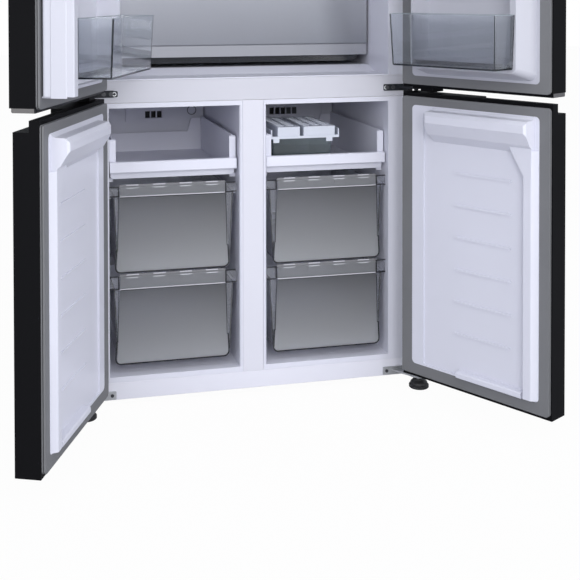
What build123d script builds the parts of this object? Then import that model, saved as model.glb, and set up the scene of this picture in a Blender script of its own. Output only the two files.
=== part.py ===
"""Four-door refrigerator: two upper doors over a bottom freezer in two columns.

Every piece is drawn about the cabinet's centre plane (x = 0) and its front face (y = 0), with the
floor at z = floor_z and the front towards -Y. Door pieces are drawn shut. Each piece is then stood in the
shared frame, and the door pieces are also turned about their hinge pins to the open rest angle.
Pieces that come in two hands are drawn on the right and mirrored for the left.
"""

from build123d import *
from math import cos, radians, sin
import os

os.makedirs("parts", exist_ok=True)

# Overall sizes
width = 830.0
half = width / 2
cab_depth = 590.0
cab_top = 1800.0
cover_top = 1830.0
sheet = 1.2
rail_z0 = 25.0
shell_back = cab_depth - 4.0

# The frame's origin stands on the floor under the middle of the opened refrigerator
centre_x = -17.0
front_y = -66.4
floor_z = 10.0
room = Location((centre_x, front_y, -floor_z))

# Levels of the cabinet's front, from the floor up
seam_z = 66.0
freezer_floor = 79.0
freezer_top = 719.0
beam_z0 = 731.0
beam_z1 = 784.0
fridge_lip = 787.0
fridge_floor = 802.0
fridge_top = 1750.0
flange_top = 1790.0

# Openings and walls
open_x = 350.0
flange_x = 390.0
mullion_x = 26.0
column_x0 = 34.0
skin = 2.0
rail_t = 2.5
foam_front = 3.0
liner_back = 520.0
step_y = 335.0
step_z = 260.0
ramp_y0 = 97.0
ramp_y1 = 147.0
machine_y = 400.0
machine_z = 217.0

# Doors, drawn shut
door_gap = 9.0
door_t = 54.0
door_face = -(door_gap + door_t)
door_x0 = 2.0
door_x1 = half - 2.0
pivot_x = half - 10.0
pivot_y = -48.0
pin_r = 5.0
hole_r = 5.06
low_z0 = 53.0
low_front_top = 725.0
low_top = 748.0
step_t = 20.5
hinge_block = 62.0
trim_z0 = 762.0
up_z0 = 771.0
up_top = 1806.0
trim_set = 5.0
angle_low_left = 113.0
angle_up_left = 114.0
angle_right = 119.5

# Gaskets and door liners
gasket_face = -0.7
gasket_inset = 3.0
plug_x0 = 30.0
plug_x1 = 380.0
low_plug_z0 = 88.0
up_plug_z0 = 790.0
up_plug_z1 = 1776.0

# Hinge hardware, feet and rollers
arm_t = 4.0
mid_arm_z = 753.0
low_arm_z = 36.0
top_arm_z = up_top + 2.0
foot_x = half - 4.5
foot_y = -54.0
foot_r = 24.5
foot_h = 9.0
roller_r = 17.0
roller_z = floor_z + roller_r
roller_x = 336.0
roller_y = 540.0


def block(x0, x1, y0, y1, z0, z1, mode=Mode.ADD):
    """An upright block between two corners, added to or cut from the piece at hand."""
    with Locations(((x0 + x1) / 2, (y0 + y1) / 2, (z0 + z1) / 2)):
        Box(x1 - x0, y1 - y0, z1 - z0, mode=mode)


def panel(x0, x1, z0, z1, radius=0.0, mode=Mode.ADD):
    """A rectangle in a front view, with rounded corners if a radius is given."""
    with Locations(((x0 + x1) / 2, (z0 + z1) / 2)):
        if radius:
            RectangleRounded(x1 - x0, z1 - z0, radius, mode=mode)
        else:
            Rectangle(x1 - x0, z1 - z0, mode=mode)


def front_plane(y):
    """The plane across the cabinet at depth y, seen from the front: its x is +X, its y is +Z."""
    return Plane.XZ.offset(-y)


def along_y(x, y, z):
    """A place whose axis runs from the front to the back."""
    return Location((x, y, z), (90, 0, 0))


def along_x(x, y, z):
    """A place whose axis runs across the cabinet."""
    return Location((x, y, z), (0, 90, 0))


def swung(side, angle):
    """The place of a door piece: opened about its pins, then stood in the frame."""
    pins = Location((side * pivot_x, pivot_y, 0))
    return room * pins * Location((0, 0, 0), (0, 0, side * angle)) * pins.inverse()


def save(piece, label, place=room):
    """Stand a piece in the frame and write it out under its own name."""
    piece.part.label = label
    stood = piece.part.moved(place)
    stood.label = label
    export_step(stood, f"parts/{label}.step")


def save_left(piece, label, place=room):
    """Write out the left hand of a piece that was drawn on the right."""
    with BuildPart() as other:
        add(piece.part)
        mirror(about=Plane.YZ, mode=Mode.REPLACE)
    save(other, label, place)


# Cabinet: a wrapped steel shell, its back, and the insulation between shell and liners

with BuildPart() as outer_shell:
    with BuildSketch(front_plane(0)):
        panel(-half, half, rail_z0, cab_top)
        panel(-half + sheet, half - sheet, rail_z0 - 1, cab_top - sheet, mode=Mode.SUBTRACT)
    extrude(amount=-shell_back)
    with BuildSketch(front_plane(0)):
        panel(-half, half, rail_z0, cab_top)
        panel(-flange_x, flange_x, rail_z0 - 1, flange_top, mode=Mode.SUBTRACT)
    extrude(amount=-sheet)
save(outer_shell, "outer_shell")

rib_w = 26.0
rib_h = 2.5
with BuildPart() as back_panel:
    with BuildSketch(front_plane(shell_back)):
        panel(-half, half, machine_z, cab_top)
    extrude(amount=-sheet)
    with BuildSketch(front_plane(shell_back + sheet)):
        with Locations((0, (machine_z + cab_top) / 2)):
            with GridLocations(150, 0, 5, 1):
                SlotOverall(cab_top - machine_z - 160, rib_w, rotation=90)
    extrude(amount=-rib_h)
    chamfer(back_panel.edges().group_by(Axis.Y)[-1], length=2.0)
save(back_panel, "back_panel")

foam_x = half - sheet
wall_x = open_x + skin
step_back = step_y + skin
foam_z0 = rail_z0 + 2
foam_z1 = cab_top - sheet
post_x = column_x0 - skin
foam_slabs = (
    (-foam_x, -wall_x, foam_front, shell_back, foam_z0, foam_z1),
    (wall_x, foam_x, foam_front, shell_back, foam_z0, foam_z1),
    (-wall_x, wall_x, foam_front, shell_back, fridge_top + skin, foam_z1),
    (-wall_x, wall_x, liner_back + skin, shell_back, fridge_lip - skin, fridge_top + skin),
    (-wall_x, wall_x, ramp_y1 + 3, liner_back + skin, fridge_lip - skin, fridge_floor - skin),
    (-wall_x, wall_x, foam_front, shell_back, freezer_top + skin, fridge_lip - skin),
    (-wall_x, wall_x, liner_back + skin, shell_back, step_z - skin, freezer_top + skin),
    (-wall_x, wall_x, step_back, shell_back, machine_z, step_z - skin),
    (-wall_x, wall_x, step_back, machine_y, foam_z0, machine_z),
    (-wall_x, wall_x, foam_front, step_back, foam_z0, freezer_floor - skin),
    (-post_x, post_x, 9, step_back, freezer_floor - skin, freezer_top + skin),
    (-post_x, post_x, step_back, liner_back + skin, step_z - skin, freezer_top + skin),
)
with BuildPart() as cabinet_foam:
    for slab in foam_slabs:
        block(*slab)
save(cabinet_foam, "cabinet_foam")

# Liners: thin moulded boxes with a flange round the mouth and ledges on their side walls

shelf_levels = (1026.0, 1230.0, 1470.0)
crisper_rim = 984.0
ledge_w = 9.0


def fridge_outline(grow):
    """Corners of the fresh-food compartment in side view, low in front and raised behind."""
    return (
        (-1, fridge_lip - grow),
        (ramp_y0, fridge_lip - grow),
        (ramp_y1, fridge_floor - grow),
        (liner_back + grow, fridge_floor - grow),
        (liner_back + grow, fridge_top + grow),
        (-1, fridge_top + grow),
    )


with BuildPart() as fridge_liner:
    with BuildSketch(Plane.YZ.offset(-wall_x)):
        with BuildLine():
            Polyline(*fridge_outline(skin), close=True)
        make_face()
    extrude(amount=2 * wall_x)
    block(-half, half, -2, 0, 0, cab_top, mode=Mode.SUBTRACT)
    with BuildSketch(front_plane(0)):
        panel(-flange_x, flange_x, beam_z1 + 0.4, flange_top)
    extrude(amount=-skin)
    with BuildSketch(Plane.YZ.offset(-open_x)):
        with BuildLine():
            Polyline(*fridge_outline(0), close=True)
        make_face()
    extrude(amount=2 * open_x, mode=Mode.SUBTRACT)
    for x0, x1 in ((-open_x, -open_x + ledge_w), (open_x - ledge_w, open_x)):
        for level in shelf_levels:
            block(x0, x1, 165, liner_back, level - 14, level - 4)
        block(x0, x1, 165, liner_back - 20, crisper_rim - 9.5, crisper_rim - 0.5)
save(fridge_liner, "fridge_liner")

tray_x0 = 37.5
tray_x1 = 346.5
tray_y = 15.0
tray_back = 440.0
tray_floor = 546.0
upper_bar = 505.0
lower_bar = 283.0
rail_ledges = (
    (tray_floor - 0.5, 14.0, 445.0),
    (upper_bar - 0.5, 10.0, 440.0),
    (lower_bar - 0.5, 10.0, step_y),
)
ledge_y0 = 50.0
lip_r = 5.5


def freezer_outline(grow):
    """Corners of a freezer column in side view, stepped over the machine compartment."""
    return (
        (-1, freezer_floor - grow),
        (step_y + grow, freezer_floor - grow),
        (step_y + grow, step_z - grow),
        (liner_back + grow, step_z - grow),
        (liner_back + grow, freezer_top + grow),
        (-1, freezer_top + grow),
    )


with BuildPart() as freezer_liners:
    with BuildSketch(Plane.YZ.offset(column_x0 - skin)):
        with BuildLine():
            Polyline(*freezer_outline(skin), close=True)
        make_face()
    extrude(amount=open_x - column_x0 + 2 * skin)
    block(0, half, -2, 0, 0, cab_top, mode=Mode.SUBTRACT)
    with BuildSketch(front_plane(0)):
        panel(mullion_x + 0.3, flange_x, seam_z + 0.4, beam_z0 - 0.4)
    extrude(amount=-skin)
    block(mullion_x + 0.3, column_x0, 0, 8.5, freezer_floor, freezer_top)
    with BuildSketch(Plane.YZ.offset(column_x0)):
        with BuildLine():
            Polyline(*freezer_outline(0), close=True)
        make_face()
    extrude(amount=open_x - column_x0, mode=Mode.SUBTRACT)
    mouth_edges = freezer_liners.edges().filter_by(Axis.Z).filter_by_position(Axis.Y, -0.1, 0.1)
    fillet(mouth_edges.filter_by_position(Axis.X, column_x0 - 0.1, column_x0 + 0.1), radius=lip_r)
    for top, reach, back in rail_ledges:
        block(column_x0, column_x0 + reach, ledge_y0, back, top - 9, top)
        block(open_x - reach, open_x, ledge_y0, back, top - 9, top)
    mirror(about=Plane.YZ)
save(freezer_liners, "freezer_liners")

# Front rails between and below the openings

with BuildPart() as cross_rail:
    with BuildSketch(Plane.YZ.offset(-flange_x)):
        with Locations((rail_t / 2, (beam_z0 + beam_z1) / 2)):
            Rectangle(rail_t, beam_z1 - beam_z0)
    extrude(amount=2 * flange_x)
    fillet(cross_rail.edges().filter_by(Axis.X).group_by(Axis.Y)[0], radius=1.2)
save(cross_rail, "cross_rail")

with BuildPart() as mullion_cover:
    with BuildSketch(Plane.XY.offset(seam_z + 0.4)):
        with Locations((0, rail_t / 2)):
            Rectangle(2 * mullion_x, rail_t)
    extrude(amount=beam_z0 - seam_z - 0.8)
    fillet(mullion_cover.edges().filter_by(Axis.Z).group_by(Axis.Y)[0], radius=1.5)
save(mullion_cover, "mullion_cover")

with BuildPart() as bottom_rail:
    with BuildSketch(Plane.YZ.offset(-flange_x)):
        with Locations((rail_t / 2, (rail_z0 + seam_z) / 2)):
            Rectangle(rail_t, seam_z - rail_z0)
    extrude(amount=2 * flange_x)
    fillet(bottom_rail.edges().filter_by(Axis.X).group_by(Axis.Y)[0], radius=1.2)
save(bottom_rail, "bottom_rail")

# Machine compartment at the bottom of the back

pan_t = 1.6
deck = rail_z0 + pan_t
cheek = 14.5
with BuildPart() as base_pan:
    with BuildSketch(Plane.XY.offset(rail_z0)):
        with Locations((0, (foam_front + shell_back) / 2)):
            Rectangle(2 * foam_x, shell_back - foam_front)
        with Locations((-roller_x, roller_y), (roller_x, roller_y)):
            Rectangle(27, 48, mode=Mode.SUBTRACT)
    extrude(amount=pan_t)
    block(-310, 310, shell_back - 2, shell_back, deck - 0.5, 44)
    for side in (-1, 1):
        for offset_x in (-cheek, cheek):
            mid = side * roller_x + offset_x
            block(mid - 1.2, mid + 1.2, roller_y - 20, roller_y + 20, floor_z + 9, roller_z + 9)
        with Locations(along_x(side * roller_x, roller_y, roller_z)):
            Cylinder(pin_r - 0.06, 2 * cheek)
save(base_pan, "base_pan")

for side, hand in ((-1, "left"), (1, "right")):
    with BuildPart() as rear_roller:
        with BuildSketch(Plane.YZ.offset(side * roller_x - 11)):
            with Locations((roller_y, roller_z)):
                Circle(roller_r)
                Circle(pin_r, mode=Mode.SUBTRACT)
        extrude(amount=22)
        rims = rear_roller.edges().filter_by(GeomType.CIRCLE).filter_by(lambda e: e.radius > pin_r + 1)
        chamfer(rims, length=2)
    save(rear_roller, f"rear_roller_{hand}")

comp_x = -224.0
comp_y = 492.0
pad_h = 12.0
comp_z = deck + pad_h + 4.0
with BuildPart() as compressor:
    with BuildSketch(Plane.XZ):
        with BuildLine():
            Polyline((0, 126), (0, 0), (60, 0), (74, 16), (74, 62))
            Spline((74, 62), (52, 110), (0, 126), tangents=((0, 1), (-1, 0)))
        make_face()
    revolve(axis=Axis.Z)
    with BuildSketch(Plane.XY.offset(-4)):
        RectangleRounded(190, 120, 18)
    extrude(amount=4.5)
    with BuildSketch(Plane.YZ.offset(68)):
        with Locations((0, 44)):
            RectangleRounded(52, 58, 6)
    extrude(amount=28)
save(compressor, "compressor", room * Location((comp_x, comp_y, comp_z)))

with BuildPart() as compressor_mounts:
    with Locations((comp_x, comp_y, deck + pad_h / 2)):
        with GridLocations(164, 94, 2, 2):
            Cylinder(9, pad_h)
save(compressor_mounts, "compressor_mounts")

coil_x0 = 60.0
coil_x1 = 210.0
coil_y = 436.0
coil_z = 62.0
coil_passes = 6
coil_pitch = 22.0
coil_r = 3.0
fin_count = 10
with BuildPart() as condenser:
    with BuildLine():
        for row in range(coil_passes):
            z = coil_z + row * coil_pitch
            near = coil_x1 if row % 2 else coil_x0
            far = coil_x0 if row % 2 else coil_x1
            Line((near, coil_y, z), (far, coil_y, z))
            if row < coil_passes - 1:
                bulge = -coil_pitch / 2 if row % 2 else coil_pitch / 2
                ThreePointArc(
                    (far, coil_y, z),
                    (far + bulge, coil_y, z + coil_pitch / 2),
                    (far, coil_y, z + coil_pitch),
                )
    with BuildSketch(Plane(origin=(coil_x0, coil_y, coil_z), z_dir=(1, 0, 0))):
        Circle(coil_r)
    sweep()
    fin_top = coil_z + (coil_passes - 1) * coil_pitch + 14
    for number in range(fin_count):
        x = coil_x0 + 8 + number * (coil_x1 - coil_x0 - 16) / (fin_count - 1)
        block(x - 0.6, x + 0.6, coil_y - 13, coil_y + 13, deck, fin_top)
save(condenser, "condenser")


def fan(blades, hub_r, tip_r, chord, depth):
    """An axial fan about the Y axis: a bored hub with pitched blades round it."""
    with BuildPart() as rotor:
        with Locations(along_y(0, 0, 0)):
            Cylinder(hub_r, depth)
        root = 0.8 * hub_r
        for number in range(blades):
            turn = radians(360 / blades * number)
            out = Vector(cos(turn), 0, sin(turn))
            base = Plane(origin=out * root, x_dir=(0, 1, 0), z_dir=out)
            with BuildSketch(base):
                Rectangle(chord * 0.7, 1.6, rotation=32)
            with BuildSketch(base.offset(tip_r - root)):
                Rectangle(chord, 1.6, rotation=50)
            loft()
        with Locations(along_y(0, 0, 0)):
            Cylinder(2.05, depth + 2, mode=Mode.SUBTRACT)
    return rotor


cond_fan_x = 135.0
cond_fan_y = 474.0
cond_fan_z = 110.0
condenser_fan = fan(5, 15, 58, 26, 20)
save(condenser_fan, "condenser_fan", room * Location((cond_fan_x, cond_fan_y, cond_fan_z)))

evap_fan_x = 192.0
evap_fan_y = 486.0
evap_fan_z = 545.0
evaporator_fan = fan(7, 16, 52, 22, 18)
save(evaporator_fan, "evaporator_fan", room * Location((evap_fan_x, evap_fan_y, evap_fan_z)))

with BuildPart() as fan_brackets:
    with BuildSketch(front_plane(cond_fan_y + 16)):
        with Locations((cond_fan_x, cond_fan_z)):
            Circle(68)
            Circle(62, mode=Mode.SUBTRACT)
            Rectangle(126, 9)
            Rectangle(9, 126)
            Circle(18)
    extrude(amount=-4)
    block(
        cond_fan_x - 34,
        cond_fan_x + 34,
        cond_fan_y + 16,
        cond_fan_y + 20,
        deck,
        cond_fan_z - 56,
    )
    with Locations(along_y(cond_fan_x, cond_fan_y + 4, cond_fan_z)):
        Cylinder(2.0, 26)
    with BuildSketch(front_plane(evap_fan_y + 13)):
        with Locations((evap_fan_x, evap_fan_z)):
            RectangleRounded(140, 128, 8)
            Circle(56, mode=Mode.SUBTRACT)
            Rectangle(116, 8)
            Circle(17)
    extrude(amount=-4)
    with BuildSketch(front_plane(evap_fan_y + 13)):
        with Locations((evap_fan_x, evap_fan_z)):
            RectangleRounded(140, 128, 8)
            RectangleRounded(134, 122, 6, mode=Mode.SUBTRACT)
    extrude(amount=-(liner_back - evap_fan_y - 13))
    with Locations(along_y(evap_fan_x, evap_fan_y + 3, evap_fan_z)):
        Cylinder(2.0, 24)
save(fan_brackets, "fan_brackets")

with BuildPart() as drain_pan:
    with BuildSketch(Plane.XY.offset(deck)):
        with Locations((260, 505)):
            RectangleRounded(108, 100, 10)
    extrude(amount=34)
    offset(amount=-2, openings=drain_pan.faces().sort_by(Axis.Z)[-1])
save(drain_pan, "drain_pan")

with BuildPart() as machine_cover:
    with BuildSketch(front_plane(shell_back)):
        panel(-foam_x + 4, foam_x - 4, rail_z0 + 6, machine_z - 1)
        with Locations((0, (rail_z0 + machine_z) / 2)):
            with GridLocations(430, 28, 2, 5):
                SlotOverall(260, 7, mode=Mode.SUBTRACT)
    extrude(amount=-1.5)
save(machine_cover, "machine_cover")

# Cold side, behind the freezer's covers

duct_y = 452.0
vent_x0 = 143.0
vent_x1 = 258.0
vent_z = 649.0
vent_pitch = 16.8
vent_in = 20.6
with BuildPart() as duct_covers:
    with BuildSketch(front_plane(duct_y)):
        panel(column_x0 + 2, open_x - 2, step_z + 2, freezer_top - 3, 4)
    extrude(amount=-3)
    with BuildSketch(front_plane(duct_y - 7)):
        panel(vent_x0, vent_x1, 629, freezer_top - 6, 3)
    extrude(amount=-7)
    with BuildSketch(front_plane(duct_y - 9)):
        with Locations((vent_x0 + vent_in + vent_pitch, vent_z)):
            with GridLocations(vent_pitch, 0, 3, 1):
                Rectangle(14, 19.5)
    extrude(amount=-14, mode=Mode.SUBTRACT)
    with BuildSketch(front_plane(duct_y - 9)):
        with Locations((vent_x0 + vent_in + 3.5 * vent_pitch, vent_z)):
            with GridLocations(vent_pitch, 0, 2, 1):
                Rectangle(14, 19.5)
    extrude(amount=-3.6, mode=Mode.SUBTRACT)
    with BuildSketch(front_plane(duct_y - 1)):
        with Locations((evap_fan_x, 320)):
            with GridLocations(0, 20, 1, 4):
                SlotOverall(200, 8)
    extrude(amount=-6, mode=Mode.SUBTRACT)
    mirror(about=Plane.YZ)
    with BuildSketch(front_plane(duct_y - 3)):
        with Locations((-71, 658)):
            Circle(13)
            Circle(9.5, mode=Mode.SUBTRACT)
    extrude(amount=-3.5)
    block(316.7, 338.8, duct_y - 1.4, duct_y + 1, step_z + 12, freezer_top - 8)
save(duct_covers, "freezer_duct_covers")

evap_x0 = 62.0
evap_x1 = 322.0
evap_y = 489.0
evap_fins = 16
with BuildPart() as evaporator:
    with Locations(along_x((evap_x0 + evap_x1) / 2, evap_y, 378)):
        with GridLocations(38, 28, 4, 2):
            Cylinder(4, evap_x1 - evap_x0)
    for number in range(evap_fins):
        x = evap_x0 + 12 + number * (evap_x1 - evap_x0 - 24) / (evap_fins - 1)
        block(x - 0.6, x + 0.6, evap_y - 26, evap_y + 26, 302, 454)
save(evaporator, "evaporator")

with BuildPart() as fridge_duct:
    with BuildSketch(front_plane(liner_back - 22)):
        panel(-120, 120, 1040, fridge_top - 40)
    extrude(amount=-22)
    chamfer(fridge_duct.edges().filter_by(Axis.Z).group_by(Axis.Y)[0], length=12)
    with BuildSketch(front_plane(liner_back - 24)):
        for level in (1130, 1350, 1600):
            with Locations((0, level)):
                with GridLocations(60, 0, 3, 1):
                    SlotOverall(44, 9)
    extrude(amount=-12, mode=Mode.SUBTRACT)
save(fridge_duct, "fridge_duct_cover")

# Shelves, control housing and lamp

shelf_front = 150.0
shelf_back = liner_back - 26.0
shelf_x = open_x - 3.0
with BuildPart() as shelf_trims:
    for level in shelf_levels:
        block(-shelf_x, shelf_x, shelf_front, shelf_front + 14, level - 4, level + 10)
        block(-shelf_x, shelf_x, shelf_back - 12, shelf_back, level - 4, level + 10)
        block(-shelf_x, -shelf_x + 12, shelf_front, shelf_back, level - 4, level + 8)
        block(shelf_x - 12, shelf_x, shelf_front, shelf_back, level - 4, level + 8)
        block(
            -shelf_x + 6,
            shelf_x - 6,
            shelf_front + 6,
            shelf_back - 6,
            level + 1,
            level + 5.2,
            mode=Mode.SUBTRACT,
        )
    fillet(shelf_trims.edges().filter_by(Axis.X).group_by(Axis.Y)[0], radius=4)
save(shelf_trims, "shelf_trims")

with BuildPart() as shelf_glass:
    for level in shelf_levels:
        block(
            -shelf_x + 6.2,
            shelf_x - 6.2,
            shelf_front + 6.2,
            shelf_back - 6.2,
            level + 1,
            level + 5,
        )
save(shelf_glass, "shelf_glass")

lamp_z = fridge_top - 31.0
lamp_y = 216.0
housing_y0 = 94.0
housing_y1 = 384.0
with BuildPart() as control_housing:
    with BuildSketch(Plane.YZ.offset(-150)):
        with BuildLine():
            Polyline(
                (housing_y0, fridge_top),
                (housing_y0 + 12, fridge_top - 24),
                (housing_y1 - 30, fridge_top - 34),
                (housing_y1, fridge_top),
                close=True,
            )
        make_face()
    extrude(amount=300)
    block(-110, 110, lamp_y - 70, lamp_y + 70, fridge_top - 40, lamp_z + 9, mode=Mode.SUBTRACT)
save(control_housing, "control_housing")

with BuildPart() as lamp_cover:
    with BuildSketch(Plane.XY.offset(lamp_z)):
        with Locations((0, lamp_y)):
            RectangleRounded(219, 139, 6)
    extrude(amount=9)
    fillet(lamp_cover.edges().group_by(Axis.Z)[0], radius=3)
save(lamp_cover, "lamp_cover")

# Hinges, feet and screws

nose_r = 15.0
nose_dx = 9.5
nose_dy = 11.6
plate_t = 2.8


def arm_outline(x0):
    """Corners of a front hinge arm seen from above, from the nose round to the nose again."""
    return (
        (pivot_x + nose_dx, pivot_y - nose_dy),
        (pivot_x + nose_dx, 0),
        (x0, 0),
        (x0, -4),
        (pivot_x - nose_r, pivot_y),
    )


with BuildPart() as mid_hinges:
    with BuildSketch(Plane.XY.offset(mid_arm_z)):
        with BuildLine():
            Polyline(*arm_outline(372))
            ThreePointArc(
                (pivot_x - nose_r, pivot_y),
                (pivot_x, pivot_y - nose_r),
                (pivot_x + nose_dx, pivot_y - nose_dy),
            )
        make_face()
    extrude(amount=arm_t)
    with BuildSketch(front_plane(-plate_t)):
        panel(337, 402, 745, 761.5, 3)
    extrude(amount=-plate_t)
    with Locations((pivot_x, pivot_y, mid_arm_z - 14)):
        Cylinder(pin_r, 30)
    with Locations((pivot_x, pivot_y, mid_arm_z + arm_t + 10)):
        Cylinder(pin_r, 22)
    mirror(about=Plane.YZ)
save(mid_hinges, "mid_hinges")

boss_z = low_arm_z - 3.5
with BuildPart() as bottom_hinges:
    with BuildSketch(Plane.XY.offset(low_arm_z)):
        with BuildLine():
            Polyline(*arm_outline(360))
            ThreePointArc(
                (pivot_x - nose_r, pivot_y),
                (pivot_x, pivot_y - nose_r),
                (pivot_x + nose_dx, pivot_y - nose_dy),
            )
        make_face()
    extrude(amount=arm_t)
    with BuildSketch(front_plane(-plate_t)):
        panel(335, 402, rail_z0 + 2, 47, 3)
    extrude(amount=-plate_t)
    with Locations((pivot_x, pivot_y, low_arm_z + 15)):
        Cylinder(pin_r, 30)
    with BuildSketch(Plane.XY.offset(boss_z)):
        with Locations((foot_x, foot_y)):
            Circle(9)
            Circle(hole_r, mode=Mode.SUBTRACT)
    extrude(amount=low_arm_z - boss_z)
    mirror(about=Plane.YZ)
save(bottom_hinges, "bottom_hinges")

with BuildPart() as levelling_feet:
    with BuildSketch(Plane(origin=(foot_x, foot_y, floor_z), x_dir=(1, 0, 0), z_dir=(0, -1, 0))):
        with BuildLine():
            Polyline(
                (0, 0),
                (foot_r - 1.5, 0),
                (foot_r, 1.5),
                (foot_r, foot_h - 2),
                (foot_r - 2, foot_h),
                (foot_r - 3, foot_h),
                (foot_r - 4, foot_h + 5),
                (foot_r - 9, foot_h + 10),
                (foot_r - 11, foot_h + 13),
                (pin_r, foot_h + 13),
                (pin_r, low_arm_z - floor_z - 0.5),
                (0, low_arm_z - floor_z - 0.5),
                close=True,
            )
        make_face()
    revolve(axis=Axis((foot_x, foot_y, 0), (0, 0, 1)))
    mirror(about=Plane.YZ)
save(levelling_feet, "levelling_feet")

top_nose = 11.0
with BuildPart() as top_hinges:
    with BuildSketch(Plane.XY.offset(top_arm_z)):
        with BuildLine():
            Polyline(
                (pivot_x + 7, pivot_y - 8.5),
                (pivot_x + 7, 96),
                (300, 96),
                (300, 40),
                (pivot_x - 24, 18),
                (pivot_x - top_nose, pivot_y),
            )
            ThreePointArc(
                (pivot_x - top_nose, pivot_y),
                (pivot_x, pivot_y - top_nose),
                (pivot_x + 7, pivot_y - 8.5),
            )
        make_face()
    extrude(amount=arm_t)
    block(300, 408, 42, 96, cab_top, top_arm_z + 1)
    with Locations((pivot_x, pivot_y, top_arm_z - 7)):
        Cylinder(pin_r, 22)
    mirror(about=Plane.YZ)
save(top_hinges, "top_hinges")

cover_x0 = 280.0
cover_wall = 2.4
cover_z0 = up_top + 0.6
with BuildPart() as hinge_covers:
    with BuildSketch(Plane.XY.offset(cover_z0)):
        with Locations(((cover_x0 + half) / 2, 24)):
            RectangleRounded(half - cover_x0, 172, 8)
    extrude(amount=cover_top - cover_z0)
    fillet(hinge_covers.edges().group_by(Axis.Z)[-1], radius=4)
    block(
        cover_x0 + cover_wall,
        half - cover_wall,
        -62 + cover_wall,
        110 - cover_wall,
        cab_top,
        cover_top - cover_wall,
        mode=Mode.SUBTRACT,
    )
    with BuildSketch(Plane.XY.offset(cab_top)):
        with Locations(((cover_x0 + half) / 2, 57)):
            Rectangle(half - cover_x0, 106)
            Rectangle(half - cover_x0 - 2 * cover_wall, 106 - 2 * cover_wall, mode=Mode.SUBTRACT)
    extrude(amount=cover_z0 - cab_top + 0.2)
    mirror(about=Plane.YZ)
save(hinge_covers, "hinge_covers")

head_r = 5.0
with BuildPart() as hinge_screws:
    with Locations((320, 56, top_arm_z + arm_t + 2), (320, 82, top_arm_z + arm_t + 2)):
        Cylinder(6, 4)
    with Locations((394, 82, top_arm_z + arm_t + 2)):
        Cylinder(6, 4)
    with Locations(along_y(345, -plate_t - 1, mid_arm_z + 0.5), along_y(362, -plate_t - 1, mid_arm_z + 0.5)):
        Cylinder(head_r, 2)
    with Locations(along_y(345, -plate_t - 1, 37), along_y(390, -plate_t - 1, 31)):
        Cylinder(head_r - 1, 2)
    mirror(about=Plane.YZ)
save(hinge_screws, "hinge_screws")

# Doors: foamed slabs that stand on their pins


def gasket(z0, z1, plug_z0, plug_z1):
    """A magnetic seal round a door liner: a base, a pinched bellows and a broad face strip."""
    x0 = door_x0 + gasket_inset
    x1 = door_x1 - gasket_inset
    with BuildPart() as ring:
        for start, end, pinch in ((-door_gap, -6.2, 0.0), (-6.2, -4.2, 4.0), (-4.2, gasket_face, 0.0)):
            with BuildSketch(front_plane(start)):
                panel(x0 + pinch, x1 - pinch, z0 + pinch, z1 - pinch, 8 - pinch / 2)
                panel(plug_x0, plug_x1, plug_z0, plug_z1, 10, mode=Mode.SUBTRACT)
            extrude(amount=start - end)
    return ring


low_left = swung(-1, angle_low_left)
low_right = swung(1, angle_right)
up_left = swung(-1, angle_up_left)
up_right = swung(1, angle_right)

with BuildPart() as lower_door:
    with BuildSketch(Plane.YZ.offset(door_x0)):
        with BuildLine():
            Polyline(
                (door_face, low_z0),
                (-door_gap, low_z0),
                (-door_gap, low_top),
                (-door_gap - step_t, low_top),
                (-door_gap - step_t, low_front_top),
                (door_face, low_front_top),
                close=True,
            )
        make_face()
    extrude(amount=door_x1 - door_x0)
    block(door_x1 - hinge_block, door_x1, door_face, -door_gap, low_front_top - 1, low_top)
    chamfer(lower_door.edges().filter_by(Axis.Z).group_by(Axis.Y)[0], length=1.5)
    with Locations((pivot_x, pivot_y, low_z0 + 6.5)):
        Cylinder(hole_r, 15, mode=Mode.SUBTRACT)
    with Locations((pivot_x, pivot_y, low_top - 11)):
        Cylinder(hole_r, 28, mode=Mode.SUBTRACT)
save(lower_door, "lower_door_right", low_right)
save_left(lower_door, "lower_door_left", low_left)

lower_gasket = gasket(62, 739, low_plug_z0, freezer_top)
save(lower_gasket, "lower_door_gasket_right", low_right)
save_left(lower_gasket, "lower_door_gasket_left", low_left)

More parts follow.
